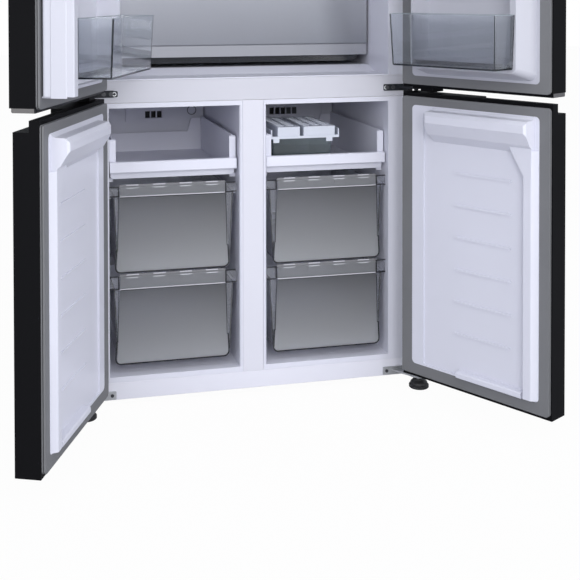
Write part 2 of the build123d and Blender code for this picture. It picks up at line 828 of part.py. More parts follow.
liner_face = -1.0
liner_pan = -5.0
column_a = 42.0
column_b = 64.0
brow_x1 = 318.0
rib_z0 = 189.0
rib_pitch = 75.6
brow_profile = (
    (-6, 717),
    (0, 717),
    (6, 711),
    (30, 709.5),
    (38, 701),
    (38, 684),
    (20, 655),
    (-6, 634),
)
ledge_profile = (
    (-6, 90),
    (10, 90),
    (12, 92),
    (12, 101),
    (9, 104),
    (-6, 106),
)
with BuildPart() as lower_liner:
    with BuildSketch(front_plane(-door_gap)):
        panel(plug_x0 + 0.1, plug_x1 - 0.1, low_plug_z0 + 0.1, freezer_top - 0.1, 10)
    extrude(amount=-(door_gap + liner_face))
    with BuildSketch(front_plane(liner_pan)):
        panel(column_b, 346, low_plug_z0 + 5, 702, 4)
    extrude(amount=-6, mode=Mode.SUBTRACT)
    with BuildSketch(Plane.YZ.offset(column_a)):
        with BuildLine():
            Polyline(*brow_profile, close=True)
        make_face()
    extrude(amount=brow_x1 - column_a)
    chamfer(
        lower_liner.edges().filter_by(Axis.Z).group_by(Axis.Y)[-1],
        length=5,
    )
    with BuildSketch(Plane.XY.offset(low_plug_z0 + 4)):
        with BuildLine():
            Polyline(
                (32, -6),
                (32, -1),
                (column_a, 11),
                (column_a + 2, 12),
                (column_b - 2, 12),
                (column_b, 10),
                (column_b, -6),
                close=True,
            )
        make_face()
    extrude(amount=640 - low_plug_z0)
    with BuildSketch(front_plane(-6)):
        with BuildLine():
            Polyline(
                (column_a + 1, 660),
                (column_a + 1, 580),
                (column_b, 590),
                (column_b + 42, 660),
                close=True,
            )
        make_face()
    extrude(amount=-18)
    with BuildSketch(Plane.YZ.offset(68)):
        with BuildLine():
            Polyline(*ledge_profile, close=True)
        make_face()
    extrude(amount=242 - 68)
    with BuildSketch(front_plane(liner_pan - 0.5)):
        with Locations((181, rib_z0 + 2.5 * rib_pitch)):
            with GridLocations(0, rib_pitch, 1, 6):
                SlotOverall(154, 5)
    extrude(amount=-3.5)
save(lower_liner, "lower_door_liner_right", low_right)
save_left(lower_liner, "lower_door_liner_left", low_left)

with BuildPart() as upper_door:
    with BuildSketch(front_plane(door_face)):
        panel(door_x0, door_x1, up_z0, up_top)
    extrude(amount=-door_t)
    chamfer(upper_door.edges().filter_by(Axis.Z).group_by(Axis.Y)[0], length=1.5)
    with Locations((pivot_x, pivot_y, up_z0 + 3.5)):
        Cylinder(hole_r, 9, mode=Mode.SUBTRACT)
    with Locations((pivot_x, pivot_y, up_top - 8.5)):
        Cylinder(hole_r, 19, mode=Mode.SUBTRACT)
save(upper_door, "upper_door_right", up_right)
save_left(upper_door, "upper_door_left", up_left)

with BuildPart() as upper_trim:
    with BuildSketch(Plane.YZ.offset(door_x0)):
        with BuildLine():
            Polyline(
                (door_face + trim_set, up_z0),
                (-door_gap, up_z0),
                (-door_gap, trim_z0),
                (door_face + trim_set + 2, trim_z0),
                (door_face + trim_set, trim_z0 + 2),
                close=True,
            )
        make_face()
    extrude(amount=door_x1 - door_x0)
    with Locations((pivot_x, pivot_y, trim_z0 + 4)):
        Cylinder(hole_r, 14, mode=Mode.SUBTRACT)
save(upper_trim, "upper_door_trim_right", up_right)
save_left(upper_trim, "upper_door_trim_left", up_left)

upper_gasket = gasket(769, 1796, up_plug_z0, up_plug_z1)
save(upper_gasket, "upper_door_gasket_right", up_right)
save_left(upper_gasket, "upper_door_gasket_left", up_left)

dike_h = 53.0
dike_top = fridge_top - 12.0
dike_x0 = 38.0
dike_x1 = 347.0
bin_x0 = 57.0
bin_x1 = 346.0
bin_levels = (825.0, 1160.0, 1440.0)
bin_heights = (118.0, 100.0, 90.0)
bin_depth = 77.0
bin_wall = 2.4
with BuildPart() as upper_liner:
    with BuildSketch(front_plane(-door_gap)):
        panel(plug_x0 + 0.1, plug_x1 - 0.1, up_plug_z0 + 0.1, up_plug_z1 - 0.1, 10)
    extrude(amount=-(door_gap + liner_face))
    with BuildSketch(front_plane(liner_face - 0.5)):
        panel(dike_x0, dike_x1, up_plug_z0 + 6, dike_top, 18)
    with BuildSketch(front_plane(dike_h)):
        panel(bin_x0 - 1, bin_x1 - 4, up_plug_z0 + 24, dike_top - 18, 14)
    loft()
    with BuildSketch(front_plane(dike_h)):
        panel(bin_x0 + 14, bin_x1 - 10, up_plug_z0 + 44, dike_top - 38, 12)
    with BuildSketch(front_plane(3)):
        panel(bin_x0 + 20, bin_x1 - 18, up_plug_z0 + 52, dike_top - 46, 12)
    loft(mode=Mode.SUBTRACT)
save(upper_liner, "upper_door_liner_right", up_right)
save_left(upper_liner, "upper_door_liner_left", up_left)


def door_bin(level, tall):
    """One flared bin, open at the top, with its back wall against the door's raised frame."""
    with BuildPart() as bin_shell:
        with BuildSketch(Plane.XY.offset(level)):
            with Locations(((bin_x0 + bin_x1) / 2, dike_h + bin_depth / 2 - 3)):
                RectangleRounded(bin_x1 - bin_x0 - 10, bin_depth - 6, 5)
        with BuildSketch(Plane.XY.offset(level + tall)):
            with Locations(((bin_x0 + bin_x1) / 2, dike_h + bin_depth / 2)):
                RectangleRounded(bin_x1 - bin_x0, bin_depth, 6)
        loft()
        offset(amount=-bin_wall, openings=bin_shell.faces().sort_by(Axis.Z)[-1])
    return bin_shell


bin_row = [door_bin(level, tall) for level, tall in zip(bin_levels, bin_heights)]
with BuildPart() as door_bins:
    for bin_shell in bin_row:
        add(bin_shell.part)
save(door_bins, "door_bins_right", up_right)
save_left(door_bins, "door_bins_left", up_left)

# Centre flap on the left upper door's free side, folded back as it is when that door is open

flap_x = -19.5
flap_y = 14.5
flap_z0 = 794.0
flap_z1 = 1742.0
flap_pin = 2.5
with BuildPart() as flip_mullion:
    with BuildSketch(Plane.XY.offset(flap_z0)):
        with BuildLine():
            Polyline((-14, 3), (-28, 3), (-28, 68), (-10, 68), (-8, 66), (-8, 9))
            ThreePointArc((-8, 9), (-9.76, 4.76), (-14, 3))
        make_face()
    extrude(amount=flap_z1 - flap_z0)
    with BuildSketch(Plane.XY.offset(flap_z0 - 3)):
        with BuildLine():
            Polyline((-10, 20), (-8, 20), (-6.6, 21.5), (-6.6, 51.5), (-8, 53), (-10, 53), close=True)
        make_face()
    extrude(amount=flap_z1 - flap_z0 + 3)
    with Locations((flap_x, flap_y, flap_z0 + 8), (flap_x, flap_y, flap_z1 - 8)):
        Cylinder(flap_pin + 0.06, 18, mode=Mode.SUBTRACT)
save(flip_mullion, "flip_mullion", up_left)

with BuildPart() as flap_hinges:
    for level, pin_z, foot_x in (
        (flap_z0 - 3.5, flap_z0 + 4, -44),
        (flap_z1 + 0.5, flap_z1 - 4, -36),
    ):
        block(foot_x, foot_x + 5, liner_face, 3, level, level + 3)
        block(foot_x, -15.5, gasket_face + 0.3, flap_y + 7, level, level + 3)
        with Locations((flap_x, flap_y, pin_z)):
            Cylinder(flap_pin, 15)
save(flap_hinges, "flap_hinges", up_left)

# Wide fresh-food drawer

crisper_x = 345.0
crisper_y = 146.0
crisper_z0 = 812.0
tub_y0 = crisper_y + 6.5
tub_y1 = liner_back - 28.0
front_z0 = 828.0
front_z1 = 1012.0
line_z = 857.0
with BuildPart() as crisper_tub:
    with BuildSketch(front_plane(tub_y0)):
        with BuildLine():
            Polyline(
                (-crisper_x + 15, crisper_rim + 4),
                (crisper_x - 15, crisper_rim + 4),
                (crisper_x - 22, crisper_z0),
                (-crisper_x + 22, crisper_z0),
                close=True,
            )
        make_face()
    extrude(amount=-(tub_y1 - tub_y0))
    fillet(crisper_tub.edges().filter_by(Axis.Y).group_by(Axis.Z)[0], radius=24)
    offset(amount=-3, openings=crisper_tub.faces().sort_by(Axis.Z)[-1])
    with BuildSketch(Plane.XY.offset(crisper_rim)):
        with Locations((0, (tub_y0 + tub_y1) / 2)):
            Rectangle(2 * crisper_x + 2, tub_y1 - tub_y0)
            Rectangle(2 * crisper_x - 36, tub_y1 - tub_y0 - 6, mode=Mode.SUBTRACT)
    extrude(amount=4)
save(crisper_tub, "crisper_tub")

with BuildPart() as crisper_front:
    with BuildSketch(Plane.YZ.offset(-crisper_x)):
        with BuildLine():
            Polyline(
                (tub_y0, front_z0),
                (crisper_y + 1, front_z0),
                (crisper_y + 1, line_z - 1.5),
                (crisper_y + 2.5, line_z),
                (crisper_y, line_z + 2),
                (crisper_y, front_z1 - 3),
                (crisper_y + 3, front_z1),
                (crisper_y + 16, front_z1),
                (crisper_y + 16, front_z1 - 4),
                (tub_y0, front_z1 - 4),
                close=True,
            )
        make_face()
    extrude(amount=2 * crisper_x)
save(crisper_front, "crisper_front")

# Freezer trays, open in front above a folded lip

tray_lip = 588.0
tray_skirt = 562.0
tray_wall_top = 643.0
post_y = 28.0
skirt_y = 33.0
post_w = 15.5
with BuildPart() as tray_apron:
    with BuildSketch(Plane.YZ.offset(tray_x0 + 3)):
        with BuildLine():
            Polyline(
                (post_y - 3, tray_lip - 1),
                (post_y, tray_lip - 1),
                (skirt_y + 3, tray_floor),
                (skirt_y, tray_floor),
                close=True,
            )
        make_face()
    extrude(amount=tray_x1 - tray_x0 - 6)
    fillet(tray_apron.edges().filter_by(Axis.Y).group_by(Axis.Z)[0], radius=7)

with BuildPart() as tray:
    with BuildSketch(Plane.YZ.offset(tray_x0 + 6)) as side_sketch:
        with BuildLine():
            Polyline(
                (skirt_y + 1.5, tray_floor),
                (tray_back, tray_floor),
                (tray_back, tray_wall_top),
                (post_y + 0.5, tray_wall_top),
                (post_y + 0.5, tray_lip - 4),
                (post_y - 0.9, tray_lip - 4),
                close=True,
            )
        make_face()
        fillet(side_sketch.vertices().sort_by_distance((post_y, tray_wall_top))[0], radius=8)
    extrude(amount=tray_x1 - tray_x0 - 12)
    block(
        tray_x0 + 9,
        tray_x1 - 9,
        post_y - 5,
        tray_back - 3,
        tray_floor + 3,
        tray_wall_top + 1,
        mode=Mode.SUBTRACT,
    )
    with BuildSketch(front_plane(tray_back - 4)):
        with BuildLine():
            Polyline(
                (tray_x0 - 1, tray_wall_top + 1),
                (tray_x0 - 1, 638),
                (tray_x0 + 37, 638),
                (tray_x0 + 47, 600),
                (tray_x1 - 47, 600),
                (tray_x1 - 37, 638),
                (tray_x1 + 1, 638),
                (tray_x1 + 1, tray_wall_top + 1),
                close=True,
            )
        make_face()
    extrude(amount=-5, mode=Mode.SUBTRACT)
    with BuildSketch(Plane.YZ.offset(tray_x0)):
        with BuildLine():
            Polyline(
                (tray_y + 2, tray_skirt),
                (tray_y, tray_skirt + 2),
                (tray_y, tray_lip - 2),
                (tray_y + 2, tray_lip),
                (post_y + 1, tray_lip),
                (post_y + 1, tray_lip - 3),
                (tray_y + 3, tray_lip - 3),
                (tray_y + 3, tray_skirt),
                close=True,
            )
        make_face()
    extrude(amount=tray_x1 - tray_x0)
    add(tray_apron.part)
    for x0 in (tray_x0, tray_x1 - post_w):
        with BuildSketch(Plane.YZ.offset(x0)) as post_sketch:
            with BuildLine():
                Polyline(
                    (post_y, tray_lip - 1),
                    (post_y, tray_wall_top - 2),
                    (post_y + 8, tray_wall_top - 2),
                    (post_y + 8, tray_lip - 1),
                    close=True,
                )
            make_face()
            fillet(post_sketch.vertices().sort_by_distance((post_y, tray_wall_top))[0], radius=6)
        extrude(amount=post_w)
save(tray, "freezer_tray_right")
save_left(tray, "freezer_tray_left")

# Freezer drawers: a tub with ears at the bar, behind a flared front panel

face_x0 = 67.0
face_x1 = 322.0
flare = 10.0
tub_x0 = 46.0
tub_x1 = 338.0
tub_lean = 9.0
drawer_wall = 2.6
tab_w = 33.0
tab_pitch = 70.0
for row, z0, bar_z, top, back in (
    ("upper", 322.0, upper_bar, 528.0, 435.0),
    ("lower", 102.0, lower_bar, 313.0, step_y - 8.0),
):
    with BuildPart() as drawer:
        with BuildSketch(front_plane(tray_y + 5)):
            with BuildLine():
                Polyline(
                    (tub_x0, bar_z + 2.6),
                    (tub_x1, bar_z + 2.6),
                    (tub_x1 - tub_lean, z0 + 1),
                    (tub_x0 + tub_lean, z0 + 1),
                    close=True,
                )
            make_face()
        extrude(amount=-(back - tray_y - 5))
        fillet(drawer.edges().filter_by(Axis.Y).group_by(Axis.Z)[0], radius=20)
        offset(amount=-drawer_wall, openings=drawer.faces().sort_by(Axis.Z)[-1])
        with BuildSketch(Plane.XY.offset(bar_z)):
            with Locations(((tray_x0 + tray_x1) / 2, (tray_y + 5 + back) / 2)):
                Rectangle(tray_x1 - tray_x0, back - tray_y - 5)
            with Locations(((tub_x0 + tub_x1) / 2, (tray_y + 5 + back) / 2)):
                Rectangle(
                    tub_x1 - tub_x0 - 2 * drawer_wall,
                    back - tray_y - 5 - 2 * drawer_wall,
                    mode=Mode.SUBTRACT,
                )
        extrude(amount=2.6)
        with BuildSketch(front_plane(tray_y + 3)):
            panel(tray_x0, tray_x1, bar_z, top - 2, 3)
        extrude(amount=-3)
        with BuildSketch(front_plane(tray_y + 1)) as face_sketch:
            with BuildLine():
                Polyline(
                    (face_x0, top),
                    (face_x1, top),
                    (face_x1 + flare, z0),
                    (face_x0 - flare, z0),
                    close=True,
                )
            make_face()
            fillet(face_sketch.vertices().group_by(Axis.Y)[0], radius=14)
        extrude(amount=-4.5)
        block(face_x0, face_x1, tray_y - 0.5, tray_y + 2, bar_z, bar_z + 2.5)
        with BuildSketch(Plane.XY.offset(top - 2.6)):
            with Locations(((face_x0 + face_x1) / 2, tray_y + 9)):
                Rectangle(face_x1 - face_x0, 19)
        extrude(amount=2.6)
        with BuildSketch(front_plane(tray_y)):
            with Locations(((face_x0 + face_x1) / 2, top - 8)):
                with GridLocations(tab_pitch, 0, 4, 1):
                    RectangleRounded(tab_w, 12, 2)
        extrude(amount=-2)
    save(drawer, f"freezer_drawer_{row}_right")
    save_left(drawer, f"freezer_drawer_{row}_left")

# Ice box in the right freezer tray, with two ice trays in a frame on its rim

ice_x0 = 56.0
ice_x1 = 215.0
ice_y0 = 34.0
ice_y1 = 238.0
ice_z = 628.5
with BuildPart() as ice_box:
    with BuildSketch(Plane.XY.offset(tray_floor + 3)):
        with Locations(((ice_x0 + ice_x1) / 2, (ice_y0 + ice_y1) / 2)):
            RectangleRounded(ice_x1 - ice_x0 - 12, ice_y1 - ice_y0 - 10, 8)
    with BuildSketch(Plane.XY.offset(ice_z)):
        with Locations(((ice_x0 + ice_x1) / 2, (ice_y0 + ice_y1) / 2)):
            RectangleRounded(ice_x1 - ice_x0, ice_y1 - ice_y0, 8)
    loft()
    offset(amount=-2.4, openings=ice_box.faces().sort_by(Axis.Z)[-1])
save(ice_box, "ice_box")

frame_x0 = 53.5
frame_x1 = 229.4
frame_y0 = 28.5
frame_top = 651.0
cell_x = 22.0
cell_y = 26.0
cell_gap = 3.5
with BuildPart() as ice_trays:
    block(frame_x0, frame_x1, frame_y0, ice_y1 + 2, ice_z, frame_top)
    block(
        frame_x0 + 2.4,
        frame_x1 - 2.4,
        frame_y0 + 2.4,
        ice_y1 - 0.4,
        ice_z + 2.4,
        frame_top + 1,
        mode=Mode.SUBTRACT,
    )
    block(
        frame_x0 + 16,
        ice_x1 - 12,
        frame_y0 + 14,
        ice_y1 - 12,
        ice_z - 1,
        ice_z + 3,
        mode=Mode.SUBTRACT,
    )
    block(
        frame_x0 + 2.4,
        frame_x1 - 2.4,
        frame_y0 - 1,
        frame_y0 + 3,
        ice_z + 6,
        frame_top + 1,
        mode=Mode.SUBTRACT,
    )
    for x0, x1 in ((59, 74), (196, 212)):
        block(x0, x1, frame_y0, frame_y0 + 2.4, 619, ice_z + 1)
    for x0, x1, columns in ((71, 128, 2), (138, 219, 3)):
        block(x0, x1, frame_y0 + 3, ice_y1 - 2, ice_z + 2.4, 657)
        with Locations(((x0 + x1) / 2, (frame_y0 + ice_y1 + 1) / 2, 657)):
            with GridLocations(cell_x + cell_gap, cell_y + cell_gap, columns, 6):
                Box(cell_x, cell_y, 44, mode=Mode.SUBTRACT)
save(ice_trays, "ice_trays")
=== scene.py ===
from math import radians

import bmesh
import bpy
from mathutils import Matrix, Vector


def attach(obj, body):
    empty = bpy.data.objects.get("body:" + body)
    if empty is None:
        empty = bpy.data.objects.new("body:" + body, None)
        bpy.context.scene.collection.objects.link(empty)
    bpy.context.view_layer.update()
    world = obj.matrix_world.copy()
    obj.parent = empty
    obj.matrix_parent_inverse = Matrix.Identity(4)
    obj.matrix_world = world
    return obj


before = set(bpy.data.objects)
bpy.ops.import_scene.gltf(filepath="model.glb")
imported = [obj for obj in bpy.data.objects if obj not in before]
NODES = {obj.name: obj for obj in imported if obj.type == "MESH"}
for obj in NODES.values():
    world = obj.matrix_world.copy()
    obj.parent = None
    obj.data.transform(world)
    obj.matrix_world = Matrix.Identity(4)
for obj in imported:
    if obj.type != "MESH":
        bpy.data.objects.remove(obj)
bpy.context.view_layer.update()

bl_info = {
    "name": "Four-Door Refrigerator",
    "version": (1, 0, 0),
    "blender": (4, 5, 0),
    "location": "View3D > Sidebar > Refrigerator",
    "description": "Finishes, fittings and stage for an open four-door refrigerator",
    "category": "Object",
}

# The cabinet's drawing is in millimetres, with x from the centre plane, y from the front face and
# z from 10 mm below the floor, and this much is added to stand it in the frame
MM = 1000.0
SHIFT_X, SHIFT_Y, SHIFT_Z = -17.0, -66.4, -10.0
HANDS = ((-1, "left"), (1, "right"))

# Door pins in the drawing, and how far each door is open at rest, in degrees
PIN_X, PIN_Y = 405.0, -48.0
REST_ANGLE = {
    "lower_left": 113.0,
    "lower_right": 119.5,
    "upper_left": 114.0,
    "upper_right": 119.5,
}

# Freezer drawers: the middle of a column, the foot, bar and top of each row's front panel, how
# much wider its foot is on each side, where it is frosted, and how deep the lines on it are
COLUMN_X = 194.5
DRAWER_ROWS = (("upper", 322.0, 505.0, 528.0), ("lower", 102.0, 283.0, 313.0))
PANEL_FLARE = 10.0
FROST_HALF_BREADTH = 127.2
FROST_BACK_Y = 21.2
FROST_OVER_BAR = 0.2
LINE_DEPTH = 1.2

# The middle hinges' level
HINGE_Z = 753.2

# Door bins: their middle, and the level and height of each, from the lowest up
BIN_X = 201.5
BINS = ((825.0, 118.0), (1160.0, 100.0), (1440.0, 90.0))

# The part of a noise that the finishes use, and the share of its gloss at each end of a finish
NOISE_LOW, NOISE_HIGH = 0.3, 0.7
GLOSS_LOW, GLOSS_HIGH = 0.94, 1.08

# Soft lights: name, place, target, size in metres and power in watts
LAMPS = (
    ("key_light", (-2.6, -3.0, 1.8), (0, 0, 0.6), 2.4, 38.0),
    ("fill_light", (2.4, -3.4, 1.5), (0, 0, 0.5), 2.4, 52.0),
    ("top_light", (0.0, -1.9, 3.7), (0, 0, 0.5), 2.8, 34.0),
    ("front_light", (-0.3, -4.1, 1.8), (0, 0, 0.4), 1.5, 52.0),
)
SKY_COLOR, SKY_STRENGTH = (0.88, 0.93, 1.0, 1), 0.56
FLOOR_SIZE, FLOOR_DROP = 14.0, 0.0005
FLOOR_COLOR, FLOOR_GLOW = (0.60, 0.60, 0.62, 1), 0.97

# The photograph's camera: place, turn in degrees, lens, and how far the framing is off its axis
CAMERA_PLACE = (-0.6117, -2.5287, 0.9862)
CAMERA_TURN = (88.83, 0.12, -13.30)
FOCAL_LENGTH, SENSOR_WIDTH = 64.66, 36.0
FRAME_SHIFT = (0.073, -0.479)


# Finishes


def blank_finish(name):
    """A new material with its shader, and the object coordinates that its patterns read."""
    material = bpy.data.materials.new(name)
    material.use_nodes = True
    tree = material.node_tree
    shader = tree.nodes["Principled BSDF"]
    place = tree.nodes.new("ShaderNodeTexCoord")
    return material, tree, shader, place.outputs["Object"]


def stretched(tree, coordinates, scale):
    """Coordinates scaled along each axis, for grain that runs one way."""
    mapping = tree.nodes.new("ShaderNodeMapping")
    mapping.inputs["Scale"].default_value = scale
    tree.links.new(coordinates, mapping.inputs["Vector"])
    return mapping.outputs["Vector"]


def speckle(tree, coordinates, scale, detail=3.0):
    """The value of a noise pattern at each point."""
    noise = tree.nodes.new("ShaderNodeTexNoise")
    noise.inputs["Scale"].default_value = scale
    noise.inputs["Detail"].default_value = detail
    tree.links.new(coordinates, noise.inputs["Vector"])
    return noise.outputs["Fac"]


def shade_between(tree, value, dark, light):
    """Turns a noise's value into a colour between two colours."""
    ramp = tree.nodes.new("ShaderNodeValToRGB")
    stops = ramp.color_ramp.elements
    stops[0].position = NOISE_LOW
    stops[0].color = (*dark, 1)
    stops[1].position = NOISE_HIGH
    stops[1].color = (*light, 1)
    tree.links.new(value, ramp.inputs["Fac"])
    return ramp.outputs["Color"]


def ranged(tree, value, before, after):
    """A value moved from one range of numbers to another."""
    to_range = tree.nodes.new("ShaderNodeMapRange")
    to_range.inputs["From Min"].default_value = before[0]
    to_range.inputs["From Max"].default_value = before[1]
    to_range.inputs["To Min"].default_value = after[0]
    to_range.inputs["To Max"].default_value = after[1]
    tree.links.new(value, to_range.inputs["Value"])
    return to_range.outputs["Result"]


def spread(tree, value, low, high):
    """Turns a noise's value into a number between low and high."""
    return ranged(tree, value, (NOISE_LOW, NOISE_HIGH), (low, high))


def bumped(tree, shader, value, strength, depth):
    """A bump of that depth in metres from a pattern's value."""
    bump = tree.nodes.new("ShaderNodeBump")
    bump.inputs["Strength"].default_value = strength
    bump.inputs["Distance"].default_value = depth
    tree.links.new(value, bump.inputs["Height"])
    tree.links.new(bump.outputs["Normal"], shader.inputs["Normal"])


def tinted(color, factor):
    """A lighter or darker shade of a colour."""
    return tuple(min(1.0, channel * factor) for channel in color)


def by_height(tree, coordinates, low, high):
    """A value that rises as a noise's does between two levels in metres."""
    split = tree.nodes.new("ShaderNodeSeparateXYZ")
    tree.links.new(coordinates, split.inputs["Vector"])
    return ranged(tree, split.outputs["Z"], (low, high), (NOISE_LOW, NOISE_HIGH))


def moulded_plastic(name, color, gloss=0.35, change=0.012):
    """Moulded plastic: faintly cloudy colour, slightly uneven gloss and a soft waviness."""
    material, tree, shader, place = blank_finish(name)
    cloud = speckle(tree, place, 4.0, 1.0)
    tree.links.new(
        shade_between(tree, cloud, tinted(color, 1 - change), tinted(color, 1 + change)),
        shader.inputs["Base Color"],
    )
    tree.links.new(
        spread(tree, speckle(tree, place, 9.0, 1.0), gloss * GLOSS_LOW, gloss * GLOSS_HIGH),
        shader.inputs["Roughness"],
    )
    bumped(tree, shader, speckle(tree, place, 11.0, 0.0), 0.1, 0.0004)
    return material


def clear_plastic(name, color, gloss, through, change=0.02):
    """See-through moulded plastic with a faint cloudiness and flow marks."""
    material, tree, shader, place = blank_finish(name)
    cloud = speckle(tree, place, 6.0, 1.0)
    tree.links.new(
        shade_between(tree, cloud, tinted(color, 1 - change), tinted(color, 1 + change)),
        shader.inputs["Base Color"],
    )
    tree.links.new(
        spread(tree, speckle(tree, place, 12.0, 1.0), gloss * 0.9, gloss * 1.1),
        shader.inputs["Roughness"],
    )
    shader.inputs["Transmission Weight"].default_value = through
    shader.inputs["IOR"].default_value = 1.4
    return material


def number(tree, operation, first, second):
    """The result of one sum; either side may be a socket or a plain number."""
    node = tree.nodes.new("ShaderNodeMath")
    node.operation = operation
    for socket, value in zip(node.inputs, (first, second)):
        if isinstance(value, float):
            socket.default_value = value
        else:
            tree.links.new(value, socket)
    return node.outputs[0]


def mixed(tree, share, first, second):
    """A colour between two colour sockets."""
    mix = tree.nodes.new("ShaderNodeMix")
    mix.data_type = "RGBA"
    tree.links.new(share, mix.inputs["Factor"])
    tree.links.new(first, mix.inputs["A"])
    tree.links.new(second, mix.inputs["B"])
    return mix.outputs["Result"]


def drawer_plastic(name, color, middle, foot, bar, top):
    """Smoked drawer: frosted front panel, lighter at its foot and darker up to the bar as painted
    light and shade, milky bar above it, and clear walls round them.

    The middle and the three levels of the panel are in metres in the frame.
    """
    material, tree, shader, place = blank_finish(name)
    split = tree.nodes.new("ShaderNodeSeparateXYZ")
    tree.links.new(place, split.inputs["Vector"])
    aside = number(tree, "ABSOLUTE", number(tree, "SUBTRACT", split.outputs["X"], middle), 0.0)
    drop = number(tree, "SUBTRACT", top, split.outputs["Z"])
    reach = number(tree, "MULTIPLY_ADD", drop, PANEL_FLARE / MM / (top - foot))
    reach.node.inputs[2].default_value = FROST_HALF_BREADTH / MM
    inside = number(tree, "LESS_THAN", aside, reach)
    front = number(tree, "LESS_THAN", split.outputs["Y"], (FROST_BACK_Y + SHIFT_Y) / MM)
    below = number(tree, "LESS_THAN", split.outputs["Z"], bar)
    panel = number(tree, "MULTIPLY", inside, front)
    frosted = number(tree, "MULTIPLY", panel, below)
    banded = number(tree, "SUBTRACT", panel, frosted)
    cloud = speckle(tree, place, 5.0, 1.0)
    clear = shade_between(tree, cloud, tinted(color, 1.40), tinted(color, 1.48))
    # Painted light and shade: the frosted panel is light at its foot and dark under the bar.
    height = by_height(tree, place, foot, bar)
    frost_lit_to_shaded = shade_between(tree, height, tinted(color, 1.60), tinted(color, 0.42))
    band = shade_between(tree, cloud, tinted(color, 0.74), tinted(color, 0.80))
    tinge = mixed(tree, banded, mixed(tree, frosted, clear, frost_lit_to_shaded), band)
    tree.links.new(tinge, shader.inputs["Base Color"])
    for socket, plain, frosted_change, band_change in (
        ("Roughness", 0.05, 0.33, 0.25),
        ("Transmission Weight", 0.93, -0.13, -0.21),
    ):
        change = number(tree, "MULTIPLY", frosted, frosted_change)
        more = number(tree, "MULTIPLY", banded, band_change)
        total = number(tree, "ADD", number(tree, "ADD", change, more), plain)
        tree.links.new(total, shader.inputs[socket])
    shader.inputs["IOR"].default_value = 1.4
    return material


def painted_steel(name, color, gloss=0.3, change=0.012, shine=0.5):
    """Coated steel, very slightly uneven in colour and gloss."""
    material, tree, shader, place = blank_finish(name)
    cloud = speckle(tree, place, 3.0, 1.0)
    tree.links.new(
        shade_between(tree, cloud, tinted(color, 1 - change), tinted(color, 1 + change)),
        shader.inputs["Base Color"],
    )
    tree.links.new(
        spread(tree, speckle(tree, place, 8.0, 1.0), gloss * GLOSS_LOW, gloss * GLOSS_HIGH),
        shader.inputs["Roughness"],
    )
    shader.inputs["Specular IOR Level"].default_value = shine
    bumped(tree, shader, speckle(tree, place, 16.0, 0.0), 0.06, 0.0003)
    return material


def bare_metal(name, color, gloss, along, change=0.12):
    """Bare or plated metal, brushed along one axis by a noise drawn out that way."""
    material, tree, shader, place = blank_finish(name)
    scale = [900.0, 900.0, 900.0]
    scale["XYZ".index(along)] = 12.0
    streak = speckle(tree, stretched(tree, place, scale), 1.0, 2.0)
    tree.links.new(
        shade_between(tree, streak, tinted(color, 1 - change), tinted(color, 1 + change)),
        shader.inputs["Base Color"],
    )
    tree.links.new(spread(tree, streak, gloss * 0.8, gloss * 1.3), shader.inputs["Roughness"])
    shader.inputs["Metallic"].default_value = 1.0
    bumped(tree, shader, streak, 0.2, 0.00005)
    return material


def painted_shade_beyond(material, turned, edge):
    """Paints shade on a finish: nearly black behind a plane square to a turned door's depth."""
    tree = material.node_tree
    shader = tree.nodes["Principled BSDF"]
    plain = shader.inputs["Base Color"].links[0].from_socket
    place = tree.nodes.new("ShaderNodeTexCoord")
    deep = tree.nodes.new("ShaderNodeVectorMath")
    deep.operation = "DOT_PRODUCT"
    axis = turned.to_3x3() @ Vector((0, 1, 0))
    deep.inputs[1].default_value = axis
    tree.links.new(place.outputs["Object"], deep.inputs[0])
    limit = float((turned @ edge).dot(axis))
    beyond = number(tree, "GREATER_THAN", deep.outputs["Value"], limit)
    shade = tree.nodes.new("ShaderNodeMix")
    shade.data_type = "RGBA"
    shade.inputs["B"].default_value = (0.012, 0.012, 0.014, 1)
    tree.links.new(beyond, shade.inputs["Factor"])
    tree.links.new(plain, shade.inputs["A"])
    tree.links.new(shade.outputs["Result"], shader.inputs["Base Color"])


def soft_vinyl(name, color):
    """Soft vinyl seal: matt, faintly dusty, with a slight waviness."""
    material, tree, shader, place = blank_finish(name)
    dust = speckle(tree, place, 12.0, 1.0)
    tree.links.new(
        shade_between(tree, dust, tinted(color, 0.97), tinted(color, 1.03)),
        shader.inputs["Base Color"],
    )
    tree.links.new(spread(tree, dust, 0.55, 0.65), shader.inputs["Roughness"])
    bumped(tree, shader, speckle(tree, place, 30.0, 0.0), 0.1, 0.0003)
    return material


def foam_finish(name, color):
    """Rigid insulation foam with its small cells."""
    material, tree, shader, place = blank_finish(name)
    cells = tree.nodes.new("ShaderNodeTexVoronoi")
    cells.inputs["Scale"].default_value = 380.0
    tree.links.new(place, cells.inputs["Vector"])
    tree.links.new(
        shade_between(tree, cells.outputs["Distance"], tinted(color, 0.8), color),
        shader.inputs["Base Color"],
    )
    dull = spread(tree, speckle(tree, place, 12.0), 0.75, 0.95)
    tree.links.new(dull, shader.inputs["Roughness"])
    bumped(tree, shader, cells.outputs["Distance"], 0.5, 0.0006)
    return material


def tempered_glass(name, color):
    """Clear shelf glass, a little green, with faint smears."""
    material, tree, shader, place = blank_finish(name)
    smear = speckle(tree, stretched(tree, place, (4.0, 14.0, 4.0)), 3.0)
    tree.links.new(
        shade_between(tree, smear, tinted(color, 0.97), color), shader.inputs["Base Color"]
    )
    tree.links.new(spread(tree, smear, 0.02, 0.09), shader.inputs["Roughness"])
    shader.inputs["Transmission Weight"].default_value = 1.0
    shader.inputs["IOR"].default_value = 1.5
    return material


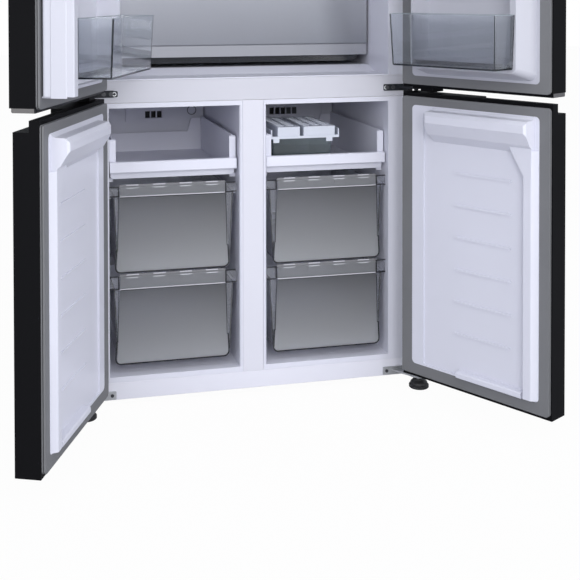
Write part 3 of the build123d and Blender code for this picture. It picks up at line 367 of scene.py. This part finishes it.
def lamp_finish(name, color, glow):
    """Frosted lens over a lit strip: brighter between the lamps' hidden joints."""
    material, tree, shader, place = blank_finish(name)
    bands = speckle(tree, stretched(tree, place, (18.0, 2.0, 2.0)), 1.0)
    lit = shade_between(tree, bands, tinted(color, 0.9), color)
    tree.links.new(lit, shader.inputs["Base Color"])
    tree.links.new(lit, shader.inputs["Emission Color"])
    shader.inputs["Emission Strength"].default_value = glow
    frost = spread(tree, speckle(tree, place, 60.0), 0.3, 0.45)
    tree.links.new(frost, shader.inputs["Roughness"])
    return material


def paint(material, *names):
    """Gives a finish to CAD nodes."""
    for name in names:
        slots = NODES[name].data.materials
        if not slots:
            slots.append(material)
        for index in range(len(slots)):
            slots[index] = material


# Places: the cabinet's drawing stands in the frame, and the doors are turned about their pins


def stood(x, y, z):
    """A point of the cabinet's drawing, in millimetres, in the frame."""
    return Vector((x + SHIFT_X, y + SHIFT_Y, z + SHIFT_Z)) / MM


def swing(side, door):
    """Turns a piece of a door that was made shut to the door's rest angle."""
    pins = Matrix.Translation(stood(side * PIN_X, PIN_Y, 0.0))
    turn = Matrix.Rotation(side * radians(REST_ANGLE[door]), 4, "Z")
    return pins @ turn @ pins.inverted()


# Shapes


def rectangle(mesh, breadth, height):
    """A flat rectangle about the origin in the XY plane."""
    made = bmesh.ops.create_grid(mesh, x_segments=1, y_segments=1, size=0.5)["verts"]
    bmesh.ops.scale(mesh, vec=(breadth, height, 1), verts=made)
    return made


def rounded(mesh, corners, radius, segments):
    """Rounds the corners of a flat sheet."""
    bmesh.ops.bevel(
        mesh,
        geom=corners,
        offset=radius,
        segments=segments,
        profile=0.5,
        affect="VERTICES",
        material=-1,
    )


def tipped_up(mesh):
    """Turns a sheet in the XY plane upright, to face forward."""
    bmesh.ops.rotate(mesh, verts=mesh.verts, matrix=Matrix.Rotation(radians(90), 3, "X"))


def put_near(mesh, x, y, z):
    """Moves an upright piece that was made about the origin, its near side to the depth y."""
    nearest = min(vert.co.y for vert in mesh.verts)
    bmesh.ops.translate(mesh, verts=mesh.verts, vec=(x, y - nearest, z))


def framed_edge(mesh, size, flare, radius, line, corners="LOWER"):
    """A flat ring along a panel's edge in the XY plane, wider at its foot, with round corners."""
    made = rectangle(mesh, *size)
    lower = [vert for vert in made if vert.co.y < 0]
    bmesh.ops.scale(mesh, vec=(1 + 2 * flare / size[0], 1, 1), verts=lower)
    rounded(mesh, lower if corners == "LOWER" else made, radius, 6)
    inner = mesh.faces[:]
    bmesh.ops.inset_region(
        mesh, faces=inner, thickness=line, use_boundary=True, use_even_offset=True
    )
    bmesh.ops.delete(mesh, geom=inner, context="FACES")


def thickened(mesh, depth):
    """Gives a flat sheet a thickness."""
    bmesh.ops.solidify(mesh, geom=mesh.faces[:], thickness=depth)


def strip(mesh, start, end, across, deep, soft=None):
    """A slim bar with softened edges along a straight line between two points.

    Along x its two sizes are the depth and the height, and upright the breadth and the depth.
    """
    run = end - start
    turn = run.to_track_quat("Z", "Y").to_matrix().to_4x4()
    place = Matrix.Translation((start + end) / 2) @ turn
    size = Matrix.Diagonal((across, deep, run.length, 1))
    made = bmesh.ops.create_cube(mesh, size=1.0, matrix=place @ size)["verts"]
    edges = {edge for vert in made for edge in vert.link_edges}
    bmesh.ops.bevel(
        mesh,
        geom=list(edges),
        offset=soft or min(across, deep) * 0.25,
        segments=2,
        profile=0.5,
        affect="EDGES",
        material=-1,
    )


def upright_ring(mesh, centre, radius, line, depth):
    """A flat ring that faces forward, its near side at the centre's depth."""
    made = bmesh.ops.create_circle(mesh, cap_ends=True, radius=radius, segments=40)["verts"]
    inner = list(made[0].link_faces)
    bmesh.ops.inset_region(mesh, faces=inner, thickness=line, use_boundary=True)
    bmesh.ops.delete(mesh, geom=inner, context="FACES")
    thickened(mesh, depth)
    tipped_up(mesh)
    put_near(mesh, *centre)


def to_frame(mesh):
    """Moves a mesh from the cabinet's drawing, in millimetres, into the frame."""
    bmesh.ops.translate(mesh, verts=mesh.verts, vec=(SHIFT_X, SHIFT_Y, SHIFT_Z))
    bmesh.ops.scale(mesh, vec=(1 / MM, 1 / MM, 1 / MM), verts=mesh.verts)


def hung(mesh, side, door):
    """Moves a mesh that was drawn on a shut door into the frame, on the open door."""
    to_frame(mesh)
    bmesh.ops.transform(mesh, matrix=swing(side, door), verts=mesh.verts)


def finished(mesh, name, material, body):
    """Makes a piece of the mesh, and lets it ride on a body."""
    bmesh.ops.recalc_face_normals(mesh, faces=mesh.faces[:])
    data = bpy.data.meshes.new(name)
    mesh.to_mesh(data)
    mesh.free()
    data.materials.append(material)
    piece = bpy.data.objects.new(name, data)
    bpy.context.scene.collection.objects.link(piece)
    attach(piece, body)


# Settings


class RefrigeratorFinishes(bpy.types.PropertyGroup):
    """Colours of the refrigerator's main finishes"""

    liner: bpy.props.FloatVectorProperty(
        name="Liner",
        description="Colour of the white moulded liners",
        default=(0.67, 0.675, 0.765),
        size=3,
        subtype="COLOR",
    )
    rail: bpy.props.FloatVectorProperty(
        name="Rails",
        description="Colour of the coated rails between the compartments",
        default=(0.71, 0.71, 0.79),
        size=3,
        subtype="COLOR",
    )
    door: bpy.props.FloatVectorProperty(
        name="Doors",
        description="Colour of the door skins and the cabinet's steel",
        default=(0.005, 0.005, 0.006),
        size=3,
        subtype="COLOR",
    )
    gasket: bpy.props.FloatVectorProperty(
        name="Seals",
        description="Colour of the soft door seals",
        default=(0.165, 0.167, 0.177),
        size=3,
        subtype="COLOR",
    )
    drawer: bpy.props.FloatVectorProperty(
        name="Drawers",
        description="Tint of the smoked freezer drawers",
        default=(0.60, 0.61, 0.65),
        size=3,
        subtype="COLOR",
    )
    clear_bin: bpy.props.FloatVectorProperty(
        name="Door bins",
        description="Tint of the clear door bins",
        default=(0.93, 0.95, 0.97),
        size=3,
        subtype="COLOR",
    )


class RefrigeratorSizes(bpy.types.PropertyGroup):
    """Sizes of the fittings that are added to the CAD pieces"""

    drawer_edge: bpy.props.FloatProperty(
        name="Drawer edge",
        description="Breadth of the dark edge round the drawers' front panels",
        default=0.0030,
        unit="LENGTH",
    )
    cap_length: bpy.props.FloatProperty(
        name="Cap length",
        description="Length of the raised caps on the lower doors' tops",
        default=0.143,
        unit="LENGTH",
    )
    tab_pitch: bpy.props.FloatProperty(
        name="Tab pitch",
        description="Distance between the finger tabs on the drawers' top edges",
        default=0.0645,
        unit="LENGTH",
    )


# Operators


class PaintCabinet(bpy.types.Operator):
    """Cabinet shell, hinge covers, back panel, rails and insulation"""

    bl_idname = "refrigerator.paint_cabinet"
    bl_label = "Cabinet"

    def execute(self, context):
        finishes = context.scene.refrigerator_finishes
        shell = tinted(finishes.door, 1.6)
        steel = painted_steel("cabinet_steel", shell, gloss=0.45, shine=0.2)
        paint(steel, "outer_shell", "hinge_covers")
        paint(painted_steel("back_steel", (0.30, 0.31, 0.33), gloss=0.42), "back_panel")
        # The cross rail, post and sill share one coat; their shares darken it as painted shade,
        # the cross rail most.
        for name, share, node in (
            ("rail_steel", 0.80, "cross_rail"),
            ("post_steel", 0.93, "mullion_cover"),
            ("sill_steel", 1.00, "bottom_rail"),
        ):
            paint(painted_steel(name, tinted(finishes.rail, share), gloss=0.32), node)
        paint(foam_finish("insulation_foam", (0.74, 0.66, 0.42)), "cabinet_foam")
        return {"FINISHED"}


class PaintLiners(bpy.types.Operator):
    """Moulded liners, duct covers, control housing and lamp cover inside the cabinet"""

    bl_idname = "refrigerator.paint_liners"
    bl_label = "Liners"

    def execute(self, context):
        finishes = context.scene.refrigerator_finishes
        liner = moulded_plastic("liner_white", tuple(finishes.liner), gloss=0.32)
        paint(liner, "fridge_liner", "freezer_liners")
        duct = moulded_plastic("duct_white", tinted(finishes.liner, 0.96), gloss=0.4)
        paint(duct, "freezer_duct_covers", "fridge_duct_cover", "control_housing")
        paint(lamp_finish("lamp_lens", (0.95, 0.97, 1.0), 1.2), "lamp_cover")
        return {"FINISHED"}


class PaintDoors(bpy.types.Operator):
    """Door slabs, bottom trims, inner liners, seals, bins and centre flap"""

    bl_idname = "refrigerator.paint_doors"
    bl_label = "Doors"

    def execute(self, context):
        finishes = context.scene.refrigerator_finishes
        skin = painted_steel("door_skin", tuple(finishes.door), gloss=0.55, shine=0.06)
        liner = moulded_plastic("door_liner_white", tuple(finishes.liner), gloss=0.32)
        seal = soft_vinyl("seal_gray", tuple(finishes.gasket))
        bins = clear_plastic("clear_bin", tuple(finishes.clear_bin), 0.02, 1.0)
        # The upper doors' liners are darker copies of the liner white, painted shade, the right
        # one more.
        for hand, share in (("left", 0.92), ("right", 0.72)):
            upper = moulded_plastic(
                f"shaded_upper_liner_{hand}", tinted(finishes.liner, share), gloss=0.32
            )
            for row in ("upper", "lower"):
                paint(skin, f"{row}_door_{hand}")
                paint(upper if row == "upper" else liner, f"{row}_door_liner_{hand}")
                paint(seal, f"{row}_door_gasket_{hand}")
            paint(bins, f"door_bins_{hand}")
        # The trims are painted nearly black behind their lit edge, painted shade.
        lit_edge = stood(0.0, -11.0, 0.0)
        # The left trim's colour is a darker copy of the right's, painted shade.
        trim_lit_and_shaded = {"left": (0.20, 0.192, 0.19), "right": (0.24, 0.23, 0.235)}
        for side, hand in HANDS:
            trim = bare_metal(f"trim_{hand}", trim_lit_and_shaded[hand], 0.42, "Y")
            painted_shade_beyond(trim, swing(side, f"upper_{hand}"), lit_edge)
            paint(trim, f"upper_door_trim_{hand}")
        flap = moulded_plastic("flap_white", tinted(finishes.liner, 0.84), gloss=0.4)
        paint(flap, "flip_mullion", "flap_hinges")
        return {"FINISHED"}


class PaintShelves(bpy.types.Operator):
    """Glass shelves and their trims"""

    bl_idname = "refrigerator.paint_shelves"
    bl_label = "Shelves"

    def execute(self, context):
        paint(tempered_glass("shelf_glass", (0.82, 0.93, 0.90)), "shelf_glass")
        paint(moulded_plastic("shelf_trim", (0.50, 0.51, 0.54), gloss=0.3), "shelf_trims")
        return {"FINISHED"}


class PaintDrawers(bpy.types.Operator):
    """Wide drawer, freezer trays, freezer drawers, ice box and ice trays"""

    bl_idname = "refrigerator.paint_drawers"
    bl_label = "Drawers"

    def execute(self, context):
        finishes = context.scene.refrigerator_finishes
        for side, hand in HANDS:
            middle = (side * COLUMN_X + SHIFT_X) / MM
            for row, foot, bar, top in DRAWER_ROWS:
                frost_top = bar + FROST_OVER_BAR
                levels = [(level + SHIFT_Z) / MM for level in (foot, frost_top, top)]
                tint = tuple(finishes.drawer)
                smoke = drawer_plastic(f"smoke_{row}_{hand}", tint, middle, *levels)
                paint(smoke, f"freezer_drawer_{row}_{hand}")
            tray = moulded_plastic("tray_white", tinted(finishes.liner, 1.05), gloss=0.35)
            paint(tray, f"freezer_tray_{hand}")
        paint(clear_plastic("crisper_smoke", (0.10, 0.105, 0.125), 0.15, 0.75), "crisper_tub")
        paint(self.silver_front("crisper_silver"), "crisper_front")
        paint(clear_plastic("ice_box_smoke", (0.60, 0.68, 0.70), 0.05, 0.96), "ice_box")
        paint(moulded_plastic("ice_tray_white", (0.58, 0.61, 0.69), gloss=0.4), "ice_trays")
        return {"FINISHED"}

    def silver_front(self, name):
        """Silver plastic, darker towards its foot as painted shade, with a lighter strip under
        the foot's line.
        """
        foot_line, face_low, face_high = 0.8465, 0.84, 1.0
        material, tree, shader, place = blank_finish(name)
        split = tree.nodes.new("ShaderNodeSeparateXYZ")
        tree.links.new(place, split.inputs["Vector"])
        # Painted shade: the silver face darkens towards its foot.
        height = by_height(tree, place, face_low, face_high)
        face = shade_between(tree, height, (0.22, 0.228, 0.26), (0.325, 0.333, 0.375))
        foot = shade_between(tree, height, (0.32, 0.325, 0.36), (0.35, 0.355, 0.40))
        below = number(tree, "LESS_THAN", split.outputs["Z"], foot_line)
        tree.links.new(mixed(tree, below, face, foot), shader.inputs["Base Color"])
        satin = spread(tree, speckle(tree, place, 8.0, 1.0), 0.30, 0.34)
        tree.links.new(satin, shader.inputs["Roughness"])
        shader.inputs["Metallic"].default_value = 0.25
        return material


class EdgeDrawers(bpy.types.Operator):
    """Dark rounded edges, ear ribs, the bar's painted shadow and highlight lines, lip and finger
    tabs of the freezer drawers
    """

    bl_idname = "refrigerator.edge_drawers"
    bl_label = "Drawer edges"

    # Depths in the drawing: ribs and upper tab lines, the edge's near side, lower tab lines, the
    # bar's line, and the lip
    panel_y = 15.2
    edge_y = 14.9
    tab_y = 14.2
    bar_y = 13.8
    lip_y = 17.4

    def execute(self, context):
        sizes = context.scene.refrigerator_sizes
        line, pitch = sizes.drawer_edge * MM, sizes.tab_pitch * MM
        dark = moulded_plastic("drawer_edge_dark", (0.010, 0.010, 0.016), gloss=0.4)
        light = moulded_plastic("drawer_line_light", (0.46, 0.46, 0.50), gloss=0.4)
        lip = moulded_plastic("drawer_lip_gray", (0.17, 0.17, 0.185), gloss=0.4)
        for side, hand in HANDS:
            middle = side * COLUMN_X
            for row, foot, bar, top in DRAWER_ROWS:
                body = f"{row}_drawer_{hand}"
                self.edge(dark, middle, foot, top, line, body)
                self.ribs(dark, middle, foot, bar, top, body)
                self.lines(light, middle, bar, top, pitch, body)
                self.lip(lip, middle, top, body)
        return {"FINISHED"}

    def edge(self, material, middle, foot, top, line, body):
        """The dark U round the panel's foot, cut off a quarter of the way up."""
        breadth, corner, deep, aside, share = 261.0, 15.0, 1.4, -1.5, 0.27
        mesh = bmesh.new()
        framed_edge(mesh, (breadth, top - foot), PANEL_FLARE, corner, line)
        thickened(mesh, deep)
        tipped_up(mesh)
        put_near(mesh, middle + aside, self.edge_y, (foot + top) / 2)
        parts = mesh.verts[:] + mesh.edges[:] + mesh.faces[:]
        level = foot + share * (top - foot)
        bmesh.ops.bisect_plane(
            mesh, geom=parts, plane_co=(0, 0, level), plane_no=(0, 0, 1), clear_outer=True
        )
        open_edges = [edge for edge in mesh.edges if edge.is_boundary]
        bmesh.ops.holes_fill(mesh, edges=open_edges)
        to_frame(mesh)
        finished(mesh, f"{body}_edge", material, body)

    def ribs(self, material, middle, foot, bar, top, body):
        """The dark lines beside the panel along the ears, and the painted shadow line under the
        bar.
        """
        ends = ((-1, 132.0, 155.5), (1, 129.5, 153.5))
        half_bar, slope, share = 128.0, 2.5, 0.26
        mesh = bmesh.new()
        level = foot + share * (top - foot)
        for sign, inner, outer in ends:
            ear, end = middle + sign * inner, middle + sign * outer
            self.upright(mesh, (ear, bar), (middle + sign * (inner + slope), level), 1.7)
            self.upright(mesh, (ear, top + 2.5), (ear, bar), 3.2)
            self.across(mesh, ear, end, top + 1.5, 2.4, self.panel_y)
            self.across(mesh, ear, end, bar + 1.5, 2.8, self.panel_y)
        # Painted shadow: the dark line under the bar.
        self.across(mesh, middle - half_bar, middle + half_bar, bar - 1.4, 1.6, self.panel_y)
        to_frame(mesh)
        finished(mesh, f"{body}_ribs", material, body)

    def lines(self, material, middle, bar, top, pitch, body):
        """The light line over the bar, a painted highlight on its edge, and two on each finger
        tab.
        """
        tabs, half_tab, aside = 4, 15, 2.0
        mesh = bmesh.new()
        # Painted highlight: the light line along the bar's edge.
        self.across(mesh, middle - 129.0, middle + 127.0, bar + 1.0, 2.6, self.bar_y)
        for tab in range(tabs):
            x = middle - aside + (tab - (tabs - 1) / 2) * pitch
            self.across(mesh, x - half_tab, x + half_tab, top + 4.8, 3.0, self.panel_y)
            self.across(mesh, x - half_tab, x + half_tab, top - 2.2, 2.6, self.tab_y)
        to_frame(mesh)
        finished(mesh, f"{body}_lines", material, body)

    def lip(self, material, middle, top, body):
        """The raised gray lip behind the tabs."""
        left, right, level, thick, tall = middle - 130.5, middle + 128.5, top + 2.0, 2.6, 8.0
        mesh = bmesh.new()
        start, end = Vector((left, self.lip_y, level)), Vector((right, self.lip_y, level))
        strip(mesh, start, end, thick, tall)
        to_frame(mesh)
        finished(mesh, f"{body}_lip", material, body)

    def upright(self, mesh, start, end, breadth):
        """A line down the front between two points given as x and z."""
        start, end = (Vector((x, self.panel_y, z)) for x, z in (start, end))
        strip(mesh, start, end, breadth, LINE_DEPTH)

    def across(self, mesh, start, end, level, tall, depth):
        """A level line between two x at a height and a depth."""
        start, end = (Vector((x, depth, level)) for x in (start, end))
        strip(mesh, start, end, LINE_DEPTH, tall)


class EdgeBins(bpy.types.Operator):
    """Dark lower edges and corners of the clear door bins, and their light rims, painted
    highlights along their tops
    """

    bl_idname = "refrigerator.edge_bins"
    bl_label = "Bin edges"

    def execute(self, context):
        dark = moulded_plastic("bin_edge_dark", (0.012, 0.016, 0.024), gloss=0.25)
        # Painted highlight: the light rims along the bins' tops.
        light = moulded_plastic("bin_rim_highlight", (0.30, 0.34, 0.38), gloss=0.25)
        for side, hand in HANDS:
            for place, (level, tall) in enumerate(BINS, start=1):
                self.foot_ring(dark, side, hand, level, tall, f"bin_edge_{hand}_{place}")
                self.rim(light, side, hand, level + tall, f"bin_rim_{hand}_{place}")
        return {"FINISHED"}

    def foot_ring(self, material, side, hand, level, tall, name):
        """The dark ring round a bin's foot, and the lines up three of its corners."""
        size, middle_y, corner, line, thick, rod = (279.0, 71.0), 88.5, 5.0, 2.4, 2.6, 1.8
        corners = (
            (63.8, 122.6, 59.2, 128.0),
            (339.2, 122.6, 343.8, 128.0),
            (63.8, 54.6, 59.2, 55.0),
        )
        mesh = bmesh.new()
        framed_edge(mesh, size, 0.0, corner, line, corners="ALL")
        thickened(mesh, thick)
        place = (side * BIN_X, middle_y, level + 1.4)
        bmesh.ops.translate(mesh, verts=mesh.verts, vec=place)
        for x, y, top_x, top_y in corners:
            start = Vector((side * x, y, level + 1.0))
            end = Vector((side * top_x, top_y, level + tall - 0.5))
            strip(mesh, start, end, rod, rod)
        hung(mesh, side, f"upper_{hand}")
        finished(mesh, name, material, f"upper_{hand}_door")

    def rim(self, material, side, hand, level, name):
        """The light ring round a bin's top, a painted highlight along its top edge."""
        size, middle_y, corner, line, thick = (289.0, 77.0), 91.5, 6.0, 2.0, 1.2
        mesh = bmesh.new()
        framed_edge(mesh, size, 0.0, corner, line, corners="ALL")
        thickened(mesh, thick)
        bmesh.ops.translate(mesh, verts=mesh.verts, vec=(side * BIN_X, middle_y, level + 0.4))
        hung(mesh, side, f"upper_{hand}")
        finished(mesh, name, material, f"upper_{hand}_door")


class DarkenDucts(bpy.types.Operator):
    """Black plates behind the freezer's vents and gray plates in the blind vents, painted shade
    in their openings, and the ring on the left rear cover
    """

    bl_idname = "refrigerator.darken_ducts"
    bl_label = "Vent shade plates"

    def execute(self, context):
        black = moulded_plastic("vent_shade_black", (0.006, 0.006, 0.008), gloss=0.7)
        gray = moulded_plastic("vent_shade_gray", (0.045, 0.047, 0.058), gloss=0.6)
        ring = moulded_plastic("ring_gray", (0.09, 0.092, 0.105), gloss=0.5)
        behind, before = 455.4, 446.2
        vents, blind = (163.6, 180.4, 197.2), (214.0, 230.8)
        for side, hand in HANDS:
            # Painted shade: the black and gray plates stand for the shade inside the vents.
            self.plates(black, side, vents, (17.0, 22.5), behind, f"vent_shade_{hand}")
        self.plates(gray, 1, blind, (13.4, 18.9), before, "blind_vents_right")
        centre, radius, line, thick = (-71.0, 448.4, 658.0), 13.2, 2.0, 1.0
        mesh = bmesh.new()
        upright_ring(mesh, centre, radius, line, thick)
        to_frame(mesh)
        finished(mesh, "duct_ring", ring, "cabinet")
        return {"FINISHED"}

    def plates(self, material, side, centres, size, depth, name):
        """A row of thin upright plates at the vents' level."""
        vent_z, thick = 649.0, 0.6
        mesh = bmesh.new()
        for x in centres:
            made = rectangle(mesh, *size)
            bmesh.ops.translate(mesh, vec=(side * x, vent_z, 0), verts=made)
        thickened(mesh, thick)
        tipped_up(mesh)
        bmesh.ops.translate(mesh, verts=mesh.verts, vec=(0, depth, 0))
        to_frame(mesh)
        finished(mesh, name, material, "cabinet")


class FitHinges(bpy.types.Operator):
    """Longer foot of the left middle hinge, and a bright ring on each, a painted highlight on its
    screw
    """

    bl_idname = "refrigerator.fit_hinges"
    bl_label = "Hinge fittings"

    def execute(self, context):
        dark = painted_steel("hinge_foot_dark", (0.016, 0.018, 0.024), gloss=0.5, shine=0.3)
        # Painted highlight: a bright metal ring at each hinge's screw stands for the glint on its
        # head.
        bright = bare_metal("highlight_ring_bright", (0.80, 0.81, 0.84), 0.36, "X")
        self.foot(dark, "hinge_foot_left")
        for name, x in (("highlight_ring_left", -337.0), ("highlight_ring_right", 342.5)):
            self.highlight_ring(bright, x, name)
        return {"FINISHED"}

    def foot(self, material, name):
        """A thin rounded plate on the cross rail's face."""
        breadth, tall, corner, thick = 22.0, 14.0, 3.0, 2.0
        mesh = bmesh.new()
        rounded(mesh, rectangle(mesh, breadth, tall), corner, 5)
        thickened(mesh, thick)
        tipped_up(mesh)
        put_near(mesh, -340.0, -3.4, HINGE_Z)
        to_frame(mesh)
        finished(mesh, name, material, "cabinet")

    def highlight_ring(self, material, x, name):
        radius, line, thick = 4.8, 1.5, 1.2
        mesh = bmesh.new()
        upright_ring(mesh, (x, -4.2, HINGE_Z), radius, line, thick)
        to_frame(mesh)
        finished(mesh, name, material, "cabinet")


class CapDoors(bpy.types.Operator):
    """Raised caps on the lower doors' tops, and stop plates under the upper doors"""

    bl_idname = "refrigerator.cap_doors"
    bl_label = "Door caps"

    def execute(self, context):
        finishes = context.scene.refrigerator_finishes
        length = context.scene.refrigerator_sizes.cap_length * MM
        skin = painted_steel("cap_skin", tuple(finishes.door), gloss=0.55, shine=0.06)
        for side, hand in HANDS:
            self.cap(skin, side, hand, length)
            self.plate(skin, side, hand)
        return {"FINISHED"}

    def cap(self, material, side, hand, length):
        """The raised cap on a lower door's top, its end nearest to the pin kept."""
        outer, y, z, deep, tall, soft = 352.0, -45.9, 735.9, 33.6, 23.6, 1.0
        mesh = bmesh.new()
        start, end = (Vector((side * x, y, z)) for x in (outer - length, outer))
        strip(mesh, start, end, deep, tall, soft)
        hung(mesh, side, f"lower_{hand}")
        finished(mesh, f"lower_cap_{hand}", material, f"lower_{hand}_door")

    def plate(self, material, side, hand):
        """The stop plate under an upper door, with the block beside it."""
        y, deep, soft = -36.0, 42.0, 0.8
        mesh = bmesh.new()
        for near, far, z, tall in ((335.0, 390.0, 760.4, 3.6), (329.0, 366.0, 756.8, 10.6)):
            start, end = (Vector((side * x, y, z)) for x in (near, far))
            strip(mesh, start, end, deep, tall, soft)
        hung(mesh, side, f"upper_{hand}")
        finished(mesh, f"stop_plate_{hand}", material, f"upper_{hand}_door")


class PaintHardware(bpy.types.Operator):
    """Hinges, screws, feet and rollers"""

    bl_idname = "refrigerator.paint_hardware"
    bl_label = "Hardware"

    def execute(self, context):
        dark = painted_steel("hinge_dark", (0.016, 0.018, 0.024), gloss=0.5, shine=0.3)
        paint(dark, "mid_hinges", "top_hinges")
        paint(bare_metal("hinge_zinc", (0.62, 0.63, 0.65), 0.36, "Y"), "bottom_hinges")
        paint(bare_metal("screw_zinc", (0.09, 0.092, 0.10), 0.4, "Z"), "hinge_screws")
        foot = moulded_plastic("foot_black", (0.02, 0.02, 0.022), gloss=0.45)
        paint(foot, "levelling_feet")
        wheel = moulded_plastic("roller_black", (0.03, 0.03, 0.032), gloss=0.5)
        paint(wheel, "rear_roller_left", "rear_roller_right")
        return {"FINISHED"}


class PaintMachinery(bpy.types.Operator):
    """Compressor, condenser, fans, evaporator, pans and covers"""

    bl_idname = "refrigerator.paint_machinery"
    bl_label = "Machinery"

    def execute(self, context):
        paint(painted_steel("compressor_black", (0.012, 0.012, 0.014), gloss=0.2), "compressor")
        paint(soft_vinyl("mount_rubber", (0.02, 0.02, 0.02)), "compressor_mounts")
        paint(painted_steel("coil_black", (0.02, 0.02, 0.022), gloss=0.3), "condenser")
        paint(painted_steel("pan_black", (0.03, 0.03, 0.033), gloss=0.4), "base_pan")
        fan = moulded_plastic("fan_gray", (0.06, 0.06, 0.065), gloss=0.4)
        paint(fan, "condenser_fan", "evaporator_fan", "fan_brackets")
        paint(moulded_plastic("pan_plastic", (0.07, 0.07, 0.075), gloss=0.4), "drain_pan")
        paint(moulded_plastic("cover_gray", (0.12, 0.12, 0.13), gloss=0.5), "machine_cover")
        paint(bare_metal("coil_aluminium", (0.77, 0.78, 0.80), 0.38, "X"), "evaporator")
        return {"FINISHED"}


class BuildStage(bpy.types.Operator):
    """Pale floor, soft studio light and the camera"""

    bl_idname = "refrigerator.build_stage"
    bl_label = "Stage"

    def execute(self, context):
        scene = context.scene
        mesh = bmesh.new()
        bmesh.ops.create_grid(mesh, x_segments=1, y_segments=1, size=FLOOR_SIZE)
        data = bpy.data.meshes.new("floor")
        mesh.to_mesh(data)
        mesh.free()
        floor = bpy.data.objects.new("floor", data)
        scene.collection.objects.link(floor)
        floor.location.z = -FLOOR_DROP
        data.materials.append(self.floor_finish())
        self.light_world(scene)
        for lamp in LAMPS:
            self.softbox(scene, *lamp)
        self.place_camera(scene)
        scene.view_settings.view_transform = "Standard"
        return {"FINISHED"}

    def place_camera(self, scene):
        lens = bpy.data.cameras.new("camera")
        camera = bpy.data.objects.new("camera", lens)
        scene.collection.objects.link(camera)
        lens.lens = FOCAL_LENGTH
        lens.sensor_width = SENSOR_WIDTH
        lens.shift_x, lens.shift_y = FRAME_SHIFT
        camera.location = CAMERA_PLACE
        camera.rotation_euler = [radians(turn) for turn in CAMERA_TURN]
        scene.camera = camera

    def seen(self, tree):
        """1 for what the camera sees, straight or through clear plastic."""
        path = tree.nodes.new("ShaderNodeLightPath")
        straight, through = path.outputs["Is Camera Ray"], path.outputs["Is Transmission Ray"]
        return number(tree, "MAXIMUM", straight, through)

    def blended(self, tree, share, first, second, output):
        """Two shaders mixed into the output, the second one by the share."""
        blend = tree.nodes.new("ShaderNodeMixShader")
        tree.links.new(share, blend.inputs[0])
        tree.links.new(first.outputs[0], blend.inputs[1])
        tree.links.new(second.outputs[0], blend.inputs[2])
        tree.links.new(blend.outputs[0], output.inputs["Surface"])

    def floor_finish(self):
        """Matt for the light, and nearly white for what the camera sees."""
        material = bpy.data.materials.new("floor_white")
        material.use_nodes = True
        tree = material.node_tree
        tree.nodes.clear()
        matt = tree.nodes.new("ShaderNodeBsdfDiffuse")
        matt.inputs["Color"].default_value = FLOOR_COLOR
        white = tree.nodes.new("ShaderNodeEmission")
        output = tree.nodes.new("ShaderNodeOutputMaterial")
        share = number(tree, "MULTIPLY", self.seen(tree), FLOOR_GLOW)
        self.blended(tree, share, matt, white, output)
        return material

    def light_world(self, scene):
        """A cool sky for the light, and white for what the camera sees."""
        world = bpy.data.worlds.new("studio")
        scene.world = world
        world.use_nodes = True
        tree = world.node_tree
        tree.nodes.clear()
        glow = tree.nodes.new("ShaderNodeBackground")
        glow.inputs["Color"].default_value = SKY_COLOR
        glow.inputs["Strength"].default_value = SKY_STRENGTH
        white = tree.nodes.new("ShaderNodeBackground")
        white.inputs["Color"].default_value = (1, 1, 1, 1)
        output = tree.nodes.new("ShaderNodeOutputWorld")
        self.blended(tree, self.seen(tree), glow, white, output)

    def softbox(self, scene, name, place, target, size, energy):
        """A square area light that faces its target."""
        light = bpy.data.lights.new(name, "AREA")
        light.shape = "SQUARE"
        light.size = size
        light.energy = energy
        lamp = bpy.data.objects.new(name, light)
        scene.collection.objects.link(lamp)
        lamp.location = place
        aim = Vector(target) - Vector(place)
        lamp.rotation_euler = aim.to_track_quat("-Z", "Y").to_euler()


STEPS = (
    PaintCabinet,
    PaintLiners,
    PaintDoors,
    PaintShelves,
    PaintDrawers,
    PaintHardware,
    PaintMachinery,
    EdgeDrawers,
    EdgeBins,
    DarkenDucts,
    FitHinges,
    CapDoors,
    BuildStage,
)


class RefrigeratorPanel(bpy.types.Panel):
    bl_idname = "VIEW3D_PT_refrigerator"
    bl_label = "Refrigerator"
    bl_space_type = "VIEW_3D"
    bl_region_type = "UI"
    bl_category = "Refrigerator"

    def draw(self, context):
        finishes = context.scene.refrigerator_finishes
        for name in ("liner", "rail", "door", "gasket", "drawer", "clear_bin"):
            self.layout.prop(finishes, name)
        for name in ("drawer_edge", "tab_pitch", "cap_length"):
            self.layout.prop(context.scene.refrigerator_sizes, name)
        for step in STEPS:
            self.layout.operator(step.bl_idname)


CLASSES = (RefrigeratorFinishes, RefrigeratorSizes, *STEPS, RefrigeratorPanel)


def register():
    for cls in CLASSES:
        bpy.utils.register_class(cls)
    bpy.types.Scene.refrigerator_finishes = bpy.props.PointerProperty(type=RefrigeratorFinishes)
    bpy.types.Scene.refrigerator_sizes = bpy.props.PointerProperty(type=RefrigeratorSizes)


def unregister():
    del bpy.types.Scene.refrigerator_finishes
    del bpy.types.Scene.refrigerator_sizes
    for cls in reversed(CLASSES):
        bpy.utils.unregister_class(cls)


def main():
    register()
    bpy.ops.refrigerator.paint_cabinet()
    bpy.ops.refrigerator.paint_liners()
    bpy.ops.refrigerator.paint_doors()
    bpy.ops.refrigerator.paint_shelves()
    bpy.ops.refrigerator.paint_drawers()
    bpy.ops.refrigerator.paint_hardware()
    bpy.ops.refrigerator.paint_machinery()
    bpy.ops.refrigerator.edge_drawers()
    bpy.ops.refrigerator.edge_bins()
    bpy.ops.refrigerator.darken_ducts()
    bpy.ops.refrigerator.fit_hinges()
    bpy.ops.refrigerator.cap_doors()
    bpy.ops.refrigerator.build_stage()


if __name__ == "__main__":
    main()
